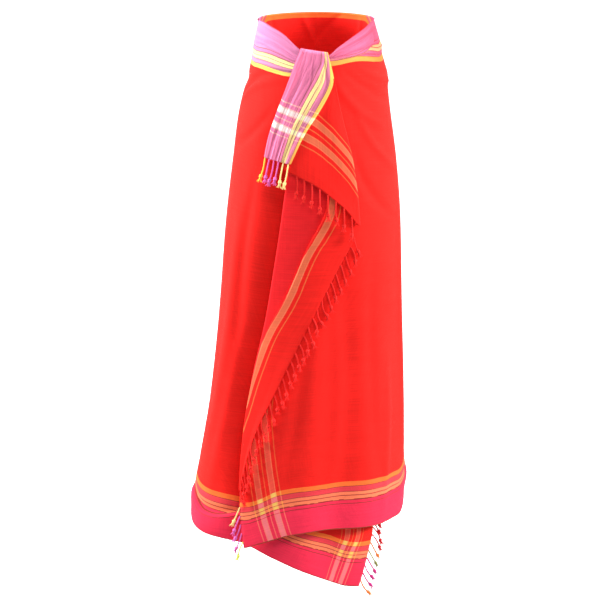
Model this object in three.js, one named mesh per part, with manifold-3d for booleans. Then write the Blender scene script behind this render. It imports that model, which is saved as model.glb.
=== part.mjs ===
// A worn kikoy: one fringed cotton cloth wrapped round the body and tied at the front.
//
// The cloth runs in a spiral. It starts at a fringed end inside the front, passes the left side, the back and
// the right side, and crosses the front again as the outer layer. That layer's fringed end is turned back and
// falls in a cascade from the tie, and its corner hangs in front of the tie as a tail.
//
// Millimetres, +Z up, -Y to the front. The origin is the middle of the waist, at the height where it is tied.
// Angles are in degrees round the body: 0 at the front, +90 at +X, 180 at the back, -90 at -X.
import * as THREE from "three";
import { mergeVertices } from "three/addons/utils/BufferGeometryUtils.js";
import Module from "manifold-3d";

const wasm = await Module();
wasm.setup();

// ---------------------------------------------------------------------------------------------- sizes
const WALL = 1.4; // thickness of the cloth's wall
const SEAM = 0.3; // clearance where two stretches of the cloth meet
const RIM = 5; // height of the waist's edge at the sides and back
const SIDE = 95; // angle of the seams between front and back stretches

// How far out from the wrapped form the middle of each layer lies.
const LAYER = { inner: 0, pleat: 2.6, outer: 5.2, turned: 7.8, fall: 10.6, tail: 13.6 };
const BAND = { left: 2.4, right: 7.2, gather: 0.9 };
// The border folded down outside the back: angles where it starts and over which it reaches its full drop.
const TURNOVER = { out: 3, drop: 96, endDrop: 8, start: 84, taper: 36, clear: 3.4 };

const TASSEL = { length: 46, cord: 2.4 };
const STRIP = 2.4; // height of the strip that a fringe's tassels hang from

// The form that the cloth is wrapped on: an oval at each height.
const SECTIONS = [
  { z: 40, halfWidth: 109, halfDepth: 82, centreX: 0 },
  { z: 0, halfWidth: 109, halfDepth: 82, centreX: 0 },
  { z: -80, halfWidth: 127, halfDepth: 96, centreX: 2 },
  { z: -170, halfWidth: 144, halfDepth: 110, centreX: -3 },
  { z: -260, halfWidth: 156, halfDepth: 118, centreX: -3 },
  { z: -370, halfWidth: 167, halfDepth: 124, centreX: -5 },
  { z: -545, halfWidth: 177, halfDepth: 129, centreX: -10 },
  { z: -730, halfWidth: 190, halfDepth: 135, centreX: -17 },
  { z: -860, halfWidth: 202, halfDepth: 143, centreX: -27 },
  { z: -960, halfWidth: 210, halfDepth: 150, centreX: -35 },
  { z: -1100, halfWidth: 216, halfDepth: 156, centreX: -38 },
];

// Long soft folds that every layer follows: the angle where each would cross the waist, how far it leans by
// the hem, its half width, how far it stands out, and the heights between which it grows to that depth.
const FOLDS = [
  { angle: -66, lean: -4, width: 15, out: 5, from: -150, to: -500 },
  { angle: 16, lean: 4, width: 12, out: -11, from: -330, to: -620 },
  { angle: 42, lean: 2, width: 13, out: 4, from: -300, to: -800 },
  { angle: 62, lean: -3, width: 14, out: -4, from: -350, to: -850 },
  { angle: 114, lean: 6, width: 14, out: 7, from: -200, to: -800 },
  { angle: 140, lean: 3, width: 12, out: -10, from: -150, to: -700 },
  { angle: 166, lean: -2, width: 13, out: 12, from: -200, to: -750 },
  { angle: 194, lean: 4, width: 12, out: -10, from: -120, to: -650 },
  { angle: 220, lean: 5, width: 13, out: 11, from: -180, to: -700 },
  { angle: 247, lean: 2, width: 12, out: -8, from: -250, to: -800 },
];

// Places where the cloth bags out or is drawn in: each one's middle, its half width in degrees, its half
// height, and how far it stands out.
const BULGES = [
  { angle: -85, z: -108, width: 30, height: 12, out: -3.5 },
  { angle: 85, z: -98, width: 25, height: 18, out: 3 },
  { angle: 101, z: -903, width: 16, height: 26, out: 8 },
  { angle: -68, z: -985, width: 24, height: 24, out: 7 },
];

// The inner layer sinks away behind the outer layer's edge: how deep, at each height.
const HOLLOW = [
  { z: -90, deep: 0 },
  { z: -235, deep: 10 },
  { z: -380, deep: 17 },
  { z: -620, deep: 21 },
  { z: -860, deep: 18 },
  { z: -1000, deep: 9 },
  { z: -1100, deep: 6 },
];
const HOLLOW_SPAN = 32; // angle over which it sinks
// Near its foot the inner layer's free end curls in: how deep, over what angle, and between which heights.
const CURL = { deep: 12, span: 22, from: -700, to: -900 };

// Edges and folds that run down the front, as an angle at each height.
const OUTER_EDGE = [
  { z: -64, angle: 6 },
  { z: -200, angle: 8 },
  { z: -335, angle: 8 },
  { z: -407, angle: -2.6 },
  { z: -498, angle: -14 },
  { z: -578, angle: -26.6 },
  { z: -643, angle: -32 },
  { z: -736, angle: -36 },
  { z: -820, angle: -35.7 },
  { z: -925, angle: -32.7 },
  { z: -1010, angle: -28.2 },
];
const PLEAT_EDGE = [
  { z: -180, angle: -16.5 },
  { z: -267, angle: -18.1 },
  { z: -378, angle: -21.3 },
  { z: -473, angle: -24.9 },
  { z: -559, angle: -28.4 },
  { z: -648, angle: -33.6 },
  { z: -720, angle: -36.6 },
];
const TURNED_EDGE = [
  { z: -399, angle: 25.6 },
  { z: -431, angle: 19.4 },
  { z: -511, angle: 6.2 },
  { z: -594, angle: -5.8 },
  { z: -684, angle: -17.3 },
  { z: -775, angle: -28.1 },
  { z: -873, angle: -33.2 },
  { z: -915, angle: -32.6 },
];
const FALL_FOLD = [
  { z: -70, angle: 10.5 },
  { z: -103, angle: 13.3 },
  { z: -170, angle: 19 },
  { z: -227, angle: 22.2 },
  { z: -286, angle: 24.4 },
  { z: -331, angle: 26.4 },
  { z: -399, angle: 27.6 },
];
const TAIL_LEFT = [
  { z: -43, angle: -14.7 },
  { z: -71, angle: -19.4 },
  { z: -118, angle: -24.6 },
  { z: -161, angle: -29 },
  { z: -202, angle: -33.2 },
  { z: -240, angle: -35.6 },
];
const TAIL_RIGHT = [
  { z: -49, angle: 8.8 },
  { z: -78, angle: 11.4 },
  { z: -98, angle: 12.6 },
  { z: -116, angle: 10.6 },
  { z: -154, angle: 2.8 },
  { z: -198, angle: -6.8 },
  { z: -251, angle: -15.6 },
];
const INNER_END = [
  { z: -70, angle: 12 },
  { z: -300, angle: 20 },
  { z: -600, angle: 32 },
  { z: -900, angle: 51 },
  { z: -985, angle: 51.4 },
  { z: -1027, angle: 46 },
  { z: -1096, angle: 38 },
];

// Edges that run round the body, as a height at each angle.
const LEFT_BAND_TOP = [
  { angle: -120, z: RIM },
  { angle: -70, z: RIM },
  { angle: -47, z: -4 },
  { angle: -32, z: -16 },
  { angle: -15.5, z: -41 },
  { angle: 0, z: -54 },
  { angle: 14, z: -58 },
];
const LEFT_BAND_FOOT = [
  { angle: -120, z: -60 },
  { angle: -95, z: -74 },
  { angle: -57, z: -81 },
  { angle: -26, z: -90 },
  { angle: -10, z: -86 },
  { angle: 14, z: -78 },
];
const RIGHT_BAND_TOP = [
  { angle: -14, z: -56 },
  { angle: 0, z: -55 },
  { angle: 10.4, z: -49 },
  { angle: 18, z: -37 },
  { angle: 33, z: -20 },
  { angle: 49.5, z: -6 },
  { angle: 69, z: RIM },
  { angle: 120, z: RIM },
];
const RIGHT_BAND_FOOT = [
  { angle: -14, z: -74 },
  { angle: 10, z: -70 },
  { angle: 35, z: -63 },
  { angle: 57, z: -68 },
  { angle: 95, z: -62 },
  { angle: 120, z: -50 },
];
const INNER_HEM = [
  { angle: -95, z: -954 },
  { angle: -80, z: -966 },
  { angle: -64, z: -989 },
  { angle: -45, z: -999 },
  { angle: -30, z: -1008 },
  { angle: -13, z: -1028 },
  { angle: 1, z: -1050 },
  { angle: 18, z: -1077 },
  { angle: 30, z: -1093 },
  { angle: 51, z: -1100 },
];
const BACK_HEM = [
  { angle: 95, z: -934 },
  { angle: 125, z: -930 },
  { angle: 155, z: -936 },
  { angle: 180, z: -936 },
  { angle: 225, z: -942 },
  { angle: 265, z: -954 },
];
const OUTER_HEM = [
  { angle: -40, z: -1016 },
  { angle: -27.7, z: -1006 },
  { angle: -16.7, z: -991 },
  { angle: -6.5, z: -978 },
  { angle: 11, z: -969 },
  { angle: 61, z: -968 },
  { angle: 73, z: -966 },
  { angle: 85, z: -949 },
  { angle: 95, z: -934 },
];
const FALL_HEM = [
  { angle: -24, z: -258 },
  { angle: -14.7, z: -269 },
  { angle: 0.5, z: -290 },
  { angle: 10.4, z: -313 },
  { angle: 20.3, z: -341 },
  { angle: 26.5, z: -366 },
  { angle: 40, z: -400 },
];

const COLOURS = {
  red: 0xe8261c,
  crimson: 0xd9233a,
  orchid: 0xdf7fbd,
  pink: 0xe8467c,
};

// ---------------------------------------------------------------------------------------------- tools
const lerp = THREE.MathUtils.lerp;
const ease = (t) => THREE.MathUtils.smoothstep(t, 0, 1);

const sortedTables = new Map();
function sortedRows(table, by) {
  if (!sortedTables.has(table)) sortedTables.set(table, [...table].sort((a, b) => a[by] - b[by]));
  return sortedTables.get(table);
}

// A smooth curve through a table's rows: the value of one column where another column has the value at.
function along(table, column, by, at) {
  const rows = sortedRows(table, by);
  const last = rows.length - 1;
  if (at <= rows[0][by]) return rows[0][column];
  if (at >= rows[last][by]) return rows[last][column];
  const i = rows.findIndex((row, k) => k < last && at <= rows[k + 1][by]);
  const slope = (k) => {
    const a = rows[Math.max(k - 1, 0)];
    const b = rows[Math.min(k + 1, last)];
    return (b[column] - a[column]) / (b[by] - a[by]);
  };
  const span = rows[i + 1][by] - rows[i][by];
  const t = (at - rows[i][by]) / span;
  const start = rows[i][column];
  const end = rows[i + 1][column];
  return (
    (2 * t ** 3 - 3 * t ** 2 + 1) * start +
    (t ** 3 - 2 * t ** 2 + t) * span * slope(i) +
    (3 * t ** 2 - 2 * t ** 3) * end +
    (t ** 3 - t ** 2) * span * slope(i + 1)
  );
}

const angleAt = (edge, z) => along(edge, "angle", "z", z);
const heightAt = (edge, angle) => along(edge, "z", "angle", angle);

// The share of a fold or bulge that is left beside its middle.
function fading(angle, middle, width) {
  const away = THREE.MathUtils.euclideanModulo(angle - middle + 180, 360) - 180;
  return Math.exp(-((away / width) ** 2));
}

// How far the folds and bulges stand out at an angle and height.
function reliefAt(angle, z) {
  let out = 0;
  for (const fold of FOLDS) {
    const grown = ease((fold.from - z) / (fold.from - fold.to));
    const middle = fold.angle + (fold.lean * -z) / 1000;
    out += fold.out * grown * fading(angle, middle, fold.width);
  }
  for (const bulge of BULGES) {
    const tall = Math.exp(-(((z - bulge.z) / bulge.height) ** 2));
    out += bulge.out * tall * fading(angle, bulge.angle, bulge.width);
  }
  return out;
}

// A point at an angle and height, that far out from the form.
function onForm(angle, z, out) {
  const turn = THREE.MathUtils.degToRad(angle);
  const far = out + reliefAt(angle, z);
  const halfWidth = along(SECTIONS, "halfWidth", "z", z) + far;
  const halfDepth = along(SECTIONS, "halfDepth", "z", z) + far;
  const centreX = along(SECTIONS, "centreX", "z", z);
  return new THREE.Vector3(centreX + halfWidth * Math.sin(turn), -halfDepth * Math.cos(turn), z);
}

// The angle that a length of cloth covers there.
function angleOf(length, angle, z) {
  const step = 0.5;
  return (length * 2 * step) / onForm(angle - step, z, 0).distanceTo(onForm(angle + step, z, 0));
}

// A place between four edges: u runs from the left edge to the right one, v from the top edge to the foot.
function between({ left, right, top, foot }, u, v) {
  let angle = 0;
  let z = lerp(top(0), foot(0), v);
  for (let pass = 0; pass < 8; pass++) {
    angle = lerp(left(z), right(z), u);
    z = lerp(top(angle), foot(angle), v);
  }
  return { angle, z };
}

// A closed wall of cloth on a grid: place(u, v) gives the middle of the cloth, with u and v from 0 to 1.
function clothWall(columns, rows, place) {
  const positions = [];
  const index = [];
  const step = 1e-3;
  const count = (columns + 1) * (rows + 1);
  const onGrid = (share) => THREE.MathUtils.clamp(share, 0, 1);
  for (const side of [1, -1]) {
    for (let j = 0; j <= rows; j++) {
      for (let i = 0; i <= columns; i++) {
        const u = i / columns;
        const v = j / rows;
        const across = place(onGrid(u + step), v).sub(place(onGrid(u - step), v));
        const down = place(u, onGrid(v + step)).sub(place(u, onGrid(v - step)));
        const out = across.cross(down).normalize();
        positions.push(...place(u, v).addScaledVector(out, (side * WALL) / 2).toArray());
      }
    }
  }
  const at = (side, i, j) => side * count + j * (columns + 1) + i;
  const quad = (a, b, c, d) => index.push(a, b, c, a, c, d);
  for (let j = 0; j < rows; j++) {
    for (let i = 0; i < columns; i++) {
      quad(at(0, i, j), at(0, i + 1, j), at(0, i + 1, j + 1), at(0, i, j + 1));
      quad(at(1, i, j), at(1, i, j + 1), at(1, i + 1, j + 1), at(1, i + 1, j));
    }
  }
  for (let i = 0; i < columns; i++) {
    quad(at(0, i, 0), at(1, i, 0), at(1, i + 1, 0), at(0, i + 1, 0));
    quad(at(0, i, rows), at(0, i + 1, rows), at(1, i + 1, rows), at(1, i, rows));
  }
  for (let j = 0; j < rows; j++) {
    quad(at(0, 0, j), at(0, 0, j + 1), at(1, 0, j + 1), at(1, 0, j));
    quad(at(0, columns, j), at(1, columns, j), at(1, columns, j + 1), at(0, columns, j + 1));
  }
  return closedGeometry(positions, index);
}

function closedGeometry(positions, index) {
  const geometry = new THREE.BufferGeometry();
  geometry.setAttribute("position", new THREE.Float32BufferAttribute(positions, 3));
  geometry.setIndex(index);
  const a = new THREE.Vector3();
  const b = new THREE.Vector3();
  const c = new THREE.Vector3();
  let volume = 0;
  for (let i = 0; i < index.length; i += 3) {
    a.fromArray(positions, index[i] * 3);
    b.fromArray(positions, index[i + 1] * 3);
    c.fromArray(positions, index[i + 2] * 3);
    volume += a.dot(b.cross(c));
  }
  if (volume < 0) {
    for (let i = 0; i < index.length; i += 3) {
      [index[i + 1], index[i + 2]] = [index[i + 2], index[i + 1]];
    }
    geometry.setIndex(index);
  }
  geometry.computeVertexNormals();
  return geometry;
}

function solidOf(geometry) {
  const bare = geometry.clone();
  bare.deleteAttribute("normal");
  const merged = mergeVertices(bare, 1e-4);
  return new wasm.Manifold(
    new wasm.Mesh({
      numProp: 3,
      vertProperties: merged.attributes.position.array,
      triVerts: new Uint32Array(merged.index.array),
    }),
  );
}

function geometryOf(solid) {
  const mesh = solid.getMesh();
  return closedGeometry(Array.from(mesh.vertProperties), Array.from(mesh.triVerts));
}

const kikoy = new THREE.Group();

function addPiece(name, geometry, colour) {
  const material = new THREE.MeshStandardMaterial({ color: colour, roughness: 0.85, metalness: 0 });
  const piece = new THREE.Mesh(geometry, material);
  piece.name = name;
  kikoy.add(piece);
}

// ---------------------------------------------------------------------------------------------- wrap
// The inner layer sinks behind the outer layer's edge, and curls in at its free end.
function innerOut(angle, z) {
  const edge = z > -690 ? angleAt(PLEAT_EDGE, z) : angleAt(OUTER_EDGE, z);
  const sunk = ease((angle - (edge - HOLLOW_SPAN)) / HOLLOW_SPAN);
  const toEnd = ease((angle - (angleAt(INNER_END, z) - CURL.span)) / CURL.span);
  const curled = toEnd * ease((CURL.from - z) / (CURL.from - CURL.to));
  return LAYER.inner - along(HOLLOW, "deep", "z", z) * sunk - CURL.deep * curled;
}

const outerOut = (angle) => LAYER.outer * ease((SIDE - angle) / 45);

const INNER_ROWS = 20;
const innerEdges = {
  left: () => -SIDE,
  right: (z) => angleAt(INNER_END, z),
  top: (angle) => heightAt(LEFT_BAND_FOOT, angle) - SEAM,
  foot: (angle) => heightAt(INNER_HEM, angle),
};
function innerFront() {
  const place = (u, v) => {
    const { angle, z } = between(innerEdges, u, v);
    return onForm(angle, z, innerOut(angle, z));
  };
  return clothWall(20, INNER_ROWS, place);
}

function backWrap() {
  const start = SIDE + angleOf(SEAM, SIDE, -500);
  const end = 360 - start;
  const place = (u, v) => {
    const angle = lerp(start, end, u);
    return onForm(angle, lerp(RIM, heightAt(BACK_HEM, angle), v), 0);
  };
  return clothWall(26, 18, place);
}

const OUTER_ROWS = 24;
const outerEdges = {
  left: (z) => angleAt(OUTER_EDGE, z),
  right: () => SIDE,
  top: (angle) => heightAt(RIGHT_BAND_FOOT, angle) - SEAM,
  foot: (angle) => heightAt(OUTER_HEM, angle),
};
function outerFront() {
  const place = (u, v) => {
    const { angle, z } = between(outerEdges, u, v);
    return onForm(angle, z, outerOut(angle));
  };
  return clothWall(20, OUTER_ROWS, place);
}

// A fold that turns a layer over on to the one below or above it, as angle and distance out: from half a turn
// at the fold (roll from 0 to 1), and then along the layer.
function rolled(roll, foldAngle, z, below, above, direction) {
  const radius = (above - below) / 2;
  const turn = Math.PI * roll;
  const sideways = -Math.sin(turn) * radius * direction;
  return {
    angle: foldAngle + angleOf(sideways, foldAngle, z),
    out: (below + above) / 2 - Math.cos(turn) * radius,
  };
}

const ROLL_COLUMNS = 3; // facets round a rolled fold

// The outer layer's fringed end, turned back over it. Its rows are the outer layer's own, so the two meet.
const TURNED_ROWS = { first: 4, last: 21 };
const outerEdgeHeight = (row) => between(outerEdges, 0, row / OUTER_ROWS).z;
const TURNED_LEAST = 5; // width of the turned end where it runs out at its foot
const TURNED_TUCK = 6; // how far its edge lies inside the fall's rolled edge
const TURNED_FRINGE_ROW = 8; // its first row with a fringe
const INNER_FRINGE_ROW = 17; // the first row of the inner layer with a fringe

const outerFold = (z) => angleAt(OUTER_EDGE, z) - angleOf(SEAM, 0, z);
function turnedRight(z) {
  const underFall = z > FALL_FOLD[FALL_FOLD.length - 1].z;
  const edge = underFall ? angleAt(FALL_FOLD, z) - angleOf(TURNED_TUCK, 0, z) : angleAt(TURNED_EDGE, z);
  return Math.max(edge, outerFold(z) + angleOf(TURNED_LEAST, 0, z));
}
function turnedEnd() {
  const columns = ROLL_COLUMNS + 5;
  const split = ROLL_COLUMNS / columns;
  const rows = TURNED_ROWS.last - TURNED_ROWS.first;
  const place = (u, v) => {
    const z = outerEdgeHeight(lerp(TURNED_ROWS.first, TURNED_ROWS.last, v));
    const fold = outerFold(z);
    if (u < split) {
      const edge = rolled(u / split, fold, z, LAYER.outer, LAYER.turned, 1);
      return onForm(edge.angle, z, edge.out);
    }
    return onForm(lerp(fold, turnedRight(z), (u - split) / (1 - split)), z, LAYER.turned);
  };
  return clothWall(columns, rows, place);
}

// A pleat of the inner layer, whose folded edge shows beside the turned end.
const PLEAT = { top: -200, foot: -700, deep: 5, width: 36 }; // deep in mm, width in degrees
function innerPleat() {
  const columns = ROLL_COLUMNS + 3;
  const split = ROLL_COLUMNS / columns;
  const place = (u, v) => {
    const z = lerp(PLEAT.top, PLEAT.foot, v);
    const fold = angleAt(PLEAT_EDGE, z);
    if (u < split) {
      const edge = rolled(u / split, fold, z, LAYER.pleat - PLEAT.deep, LAYER.pleat, 1);
      return onForm(edge.angle, z, edge.out);
    }
    return onForm(lerp(fold, fold + PLEAT.width, (u - split) / (1 - split)), z, LAYER.pleat);
  };
  return clothWall(columns, 16, place);
}

// ---------------------------------------------------------------------------------------------- the tie
// Soft gathers that run along a tied band: v is 0 at its upper edge.
const gathers = (v) => BAND.gather * Math.sin(v * 4 * Math.PI) * Math.sin(v * Math.PI);

const TIE = 12; // angle each side of the front where the bands' ends lie under the tail
function tiedBand(start, end, topEdge, footEdge, lift) {
  const place = (u, v) => {
    const angle = lerp(start, end, u);
    const z = lerp(heightAt(topEdge, angle), heightAt(footEdge, angle), v);
    return onForm(angle, z, lift * ease((SIDE - Math.abs(angle)) / 50) + gathers(v));
  };
  return clothWall(18, 7, place);
}
const leftBand = () => tiedBand(-SIDE, TIE, LEFT_BAND_TOP, LEFT_BAND_FOOT, BAND.left);
const rightBand = () => tiedBand(-TIE, SIDE, RIGHT_BAND_TOP, RIGHT_BAND_FOOT, BAND.right);

// The tail comes up behind the tied bands, turns over their upper edges and hangs in front.
const TAIL = { leftTop: -42, rightTop: -49, leftFoot: -240, rightFoot: -251 };
const TAIL_TUCK = { rise: 4, inside: -3.2, length: 30 }; // how it passes over the waist's edge to the inside
const TAIL_ROWS = { tuck: 2, roll: 4, front: 15 };
const TAIL_PLEATS = { count: 3, deep: 0.8 };
const tailFoot = (u) => lerp(TAIL.leftFoot, TAIL.rightFoot, u);
function tiedTail() {
  const rows = TAIL_ROWS.tuck + TAIL_ROWS.roll + TAIL_ROWS.front;
  const place = (u, v) => {
    const row = v * rows;
    const top = lerp(TAIL.leftTop, TAIL.rightTop, u);
    const topAngle = lerp(angleAt(TAIL_LEFT, top), angleAt(TAIL_RIGHT, top), u);
    if (row < TAIL_ROWS.tuck) {
      return onForm(topAngle, top - TAIL_TUCK.length * (1 - row / TAIL_ROWS.tuck), TAIL_TUCK.inside);
    }
    if (row < TAIL_ROWS.tuck + TAIL_ROWS.roll) {
      const turn = (Math.PI * (row - TAIL_ROWS.tuck)) / TAIL_ROWS.roll;
      const out = lerp(TAIL_TUCK.inside, LAYER.tail, (1 - Math.cos(turn)) / 2);
      return onForm(topAngle, top + TAIL_TUCK.rise * Math.sin(turn), out);
    }
    const down = (row - TAIL_ROWS.tuck - TAIL_ROWS.roll) / TAIL_ROWS.front;
    const z = lerp(top, tailFoot(u), down);
    const angle = lerp(angleAt(TAIL_LEFT, z), angleAt(TAIL_RIGHT, z), u);
    const pleats = TAIL_PLEATS.deep * Math.sin(u * TAIL_PLEATS.count * 2 * Math.PI) * ease(down * 2 - 1);
    return onForm(angle, z, LAYER.tail + pleats);
  };
  return clothWall(12, rows, place);
}

// The rest of the corner: it falls from the tie beside the tail, resting on the outer layer at first. Further
// down it stands out more and more towards its right edge, where it turns under.
const FALL = { top: -92, underTail: 5, rest: 90, puff: 8, grown: 220 };
const FALL_COLUMNS = 8;
const fallEdges = {
  left: (z) => angleAt(TAIL_RIGHT, z) - FALL.underTail,
  right: (z) => angleAt(FALL_FOLD, z),
  top: () => FALL.top,
  foot: (angle) => heightAt(FALL_HEM, angle),
};
function fallOut(across, z) {
  const resting = (1 - ease((across - 0.2) / 0.5)) * (1 - ease((FALL.top - z) / FALL.rest));
  const puffed = ease((across - 0.15) / 0.75) * ease((FALL.top - z) / FALL.grown);
  return lerp(LAYER.fall, LAYER.outer + WALL + SEAM, resting) + FALL.puff * puffed;
}
function cornerFall() {
  const columns = FALL_COLUMNS + ROLL_COLUMNS;
  const split = FALL_COLUMNS / columns;
  const place = (u, v) => {
    const across = Math.min(u / split, 1);
    const { angle, z } = between(fallEdges, across, v);
    const out = fallOut(across, z);
    if (u <= split) return onForm(angle, z, out);
    const edge = rolled((1 - u) / (1 - split), angle, z, LAYER.turned, out, -1);
    return onForm(edge.angle, z, edge.out);
  };
  return clothWall(columns, 13, place);
}

// The top border, folded down outside the back.
function turnoverDrop(angle) {
  const fromEnd = Math.min(angle, 360 - angle) - TURNOVER.start;
  return lerp(TURNOVER.endDrop, TURNOVER.drop, ease(fromEnd / TURNOVER.taper));
}
function waistTurnover() {
  const rows = ROLL_COLUMNS + 5;
  const split = ROLL_COLUMNS / rows;
  const fold = RIM + SEAM + WALL / 2;
  const place = (u, v) => {
    const angle = lerp(TURNOVER.start, 360 - TURNOVER.start, u);
    const clear = TURNOVER.clear * ease((SIDE + 12 - Math.min(angle, 360 - angle)) / 20);
    if (v < split) {
      const turn = (Math.PI * v) / split;
      const radius = TURNOVER.out / 2;
      return onForm(angle, fold + radius * Math.sin(turn), clear + radius * (1 - Math.cos(turn)));
    }
    const z = fold - turnoverDrop(angle) * ((v - split) / (1 - split));
    return onForm(angle, z, clear + TURNOVER.out);
  };
  return clothWall(26, rows, place);
}

// ---------------------------------------------------------------------------------------------- fringe
// One tassel: a three-sided cord with a knot and a tuft at its end.
const TASSEL_SIDES = 3;
const TASSEL_RINGS = [
  { share: 0, size: 1 },
  { share: 0.45, size: 0.9 },
  { share: 0.76, size: 0.9 },
  { share: 0.82, size: 2.2 },
  { share: 0.9, size: 1.4 },
  { share: 1, size: 2.1 },
];
function tassel(root, tip, sag) {
  const axis = tip.clone().sub(root);
  const side = new THREE.Vector3(-axis.z, 0, axis.x).normalize();
  const front = side.clone().cross(axis).normalize();
  const positions = [];
  for (const ring of TASSEL_RINGS) {
    const centre = root.clone().addScaledVector(axis, ring.share);
    centre.addScaledVector(sag, Math.sin(Math.PI * ring.share));
    for (let k = 0; k < TASSEL_SIDES; k++) {
      const turn = (2 * Math.PI * k) / TASSEL_SIDES;
      const corner = centre.clone().addScaledVector(side, (TASSEL.cord / 2) * ring.size * Math.cos(turn));
      corner.addScaledVector(front, (TASSEL.cord / 2) * ring.size * Math.sin(turn));
      positions.push(...corner.toArray());
    }
  }
  const index = [];
  const last = (TASSEL_RINGS.length - 1) * TASSEL_SIDES;
  for (let below = 0; below < last; below += TASSEL_SIDES) {
    for (let k = 0; k < TASSEL_SIDES; k++) {
      const next = (k + 1) % TASSEL_SIDES;
      const above = below + TASSEL_SIDES;
      index.push(below + k, above + k, above + next, below + k, above + next, below + next);
    }
  }
  index.push(0, 1, 2, last, last + 2, last + 1);
  return solidOf(closedGeometry(positions, index));
}

// A row of tassels on a narrow strip beside an edge of the cloth. edge(t) gives a place on that edge, and the
// strip has a facet for each of its segments. side and down say which way the strip lies from the edge, and
// hangSide, hangDown, sway and lift how the tassels hang.
function fringe({ edge, segments, count, side, down, hangSide, hangDown, sway, lift }) {
  const beside = (t, far) => {
    const { angle, z, out } = edge(t);
    return onForm(angle + angleOf(side * far, angle, z), z + down * far, out);
  };
  const rootAt = (t) => {
    const facet = Math.floor(t * segments);
    const start = beside(facet / segments, SEAM + STRIP / 2);
    return start.lerp(beside((facet + 1) / segments, SEAM + STRIP / 2), t * segments - facet);
  };
  let solid = solidOf(clothWall(segments, 1, (u, v) => beside(u, SEAM + STRIP * v)));
  for (let k = 0; k < count; k++) {
    const t = (k + 0.5) / count;
    const { angle, z, out } = edge(t);
    const swing = sway * Math.sin(k * 2.4);
    const tipZ = z - TASSEL.length * hangDown;
    const tipAngle = angle + angleOf(TASSEL.length * (hangSide + swing), angle, tipZ);
    const tip = onForm(tipAngle, tipZ, out + lift);
    const sag = new THREE.Vector3(swing * 14, 0, 0);
    solid = solid.add(tassel(rootAt(t), tip, sag));
  }
  return geometryOf(solid);
}

const fringes = [
  {
    name: "tail_fringe",
    colour: COLOURS.orchid,
    edge: (t) => ({
      angle: lerp(angleAt(TAIL_LEFT, TAIL.leftFoot), angleAt(TAIL_RIGHT, TAIL.rightFoot), t),
      z: tailFoot(t) - WALL / 2,
      out: LAYER.tail,
    }),
    segments: 6,
    count: 6,
    side: 0,
    down: -1,
    hangSide: -0.12,
    hangDown: 1.05,
    sway: 0.06,
    lift: 2,
  },
  {
    name: "fall_fringe",
    colour: COLOURS.crimson,
    edge: (t) => {
      const angle = lerp(-14, 25, t);
      const z = heightAt(FALL_HEM, angle) - WALL / 2;
      const across = (angle - fallEdges.left(z)) / (fallEdges.right(z) - fallEdges.left(z));
      return { angle, z, out: fallOut(across, z) };
    },
    segments: 8,
    count: 8,
    side: -0.3,
    down: -1,
    hangSide: 0.02,
    hangDown: 1.05,
    sway: 0.06,
    lift: 1,
  },
  {
    name: "turned_fringe",
    colour: COLOURS.crimson,
    edge: (t) => {
      const z = outerEdgeHeight(lerp(TURNED_FRINGE_ROW, TURNED_ROWS.last, t));
      return { angle: turnedRight(z), z, out: LAYER.turned };
    },
    segments: TURNED_ROWS.last - TURNED_FRINGE_ROW,
    count: 30,
    side: 1,
    down: -0.3,
    hangSide: 0.27,
    hangDown: 0.9,
    sway: 0.08,
    lift: 1.6,
  },
  {
    name: "corner_fringe",
    colour: COLOURS.orchid,
    edge: (t) => {
      const z = lerp(-922, -1003, t);
      return { angle: angleAt(OUTER_EDGE, z), z, out: LAYER.outer };
    },
    segments: 5,
    count: 5,
    side: -1,
    down: 0,
    hangSide: -0.28,
    hangDown: 0.9,
    sway: 0.1,
    lift: 1,
  },
  {
    name: "inner_fringe",
    colour: COLOURS.crimson,
    edge: (t) => {
      const { angle, z } = between(innerEdges, 1, lerp(INNER_FRINGE_ROW, INNER_ROWS, t) / INNER_ROWS);
      return { angle, z, out: innerOut(angle, z) };
    },
    segments: INNER_ROWS - INNER_FRINGE_ROW,
    count: 10,
    side: 1,
    down: 0,
    hangSide: 0.37,
    hangDown: 0.88,
    sway: 0.07,
    lift: 4,
  },
];

addPiece("inner_front", innerFront(), COLOURS.red);
addPiece("inner_pleat", innerPleat(), COLOURS.crimson);
addPiece("back_wrap", backWrap(), COLOURS.red);
addPiece("outer_front", outerFront(), COLOURS.red);
addPiece("turned_end", turnedEnd(), COLOURS.red);
addPiece("corner_fall", cornerFall(), COLOURS.red);
addPiece("tied_tail", tiedTail(), COLOURS.orchid);
addPiece("left_band", leftBand(), COLOURS.orchid);
addPiece("right_band", rightBand(), COLOURS.pink);
addPiece("waist_turnover", waistTurnover(), COLOURS.pink);
for (const row of fringes) {
  addPiece(row.name, fringe(row), row.colour);
}

export default kikoy;
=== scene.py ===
"""A worn kikoy: one fringed, striped cotton cloth wrapped round the hips and tied at the front.

Metres, +Z up, -Y to the front. Angles are in degrees round the body: 0 at the front, +90 at +X, 180 at the
back. The cloth has its own two measures: along, from its nearest fringed end, and across, from its top edge.
"""

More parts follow.
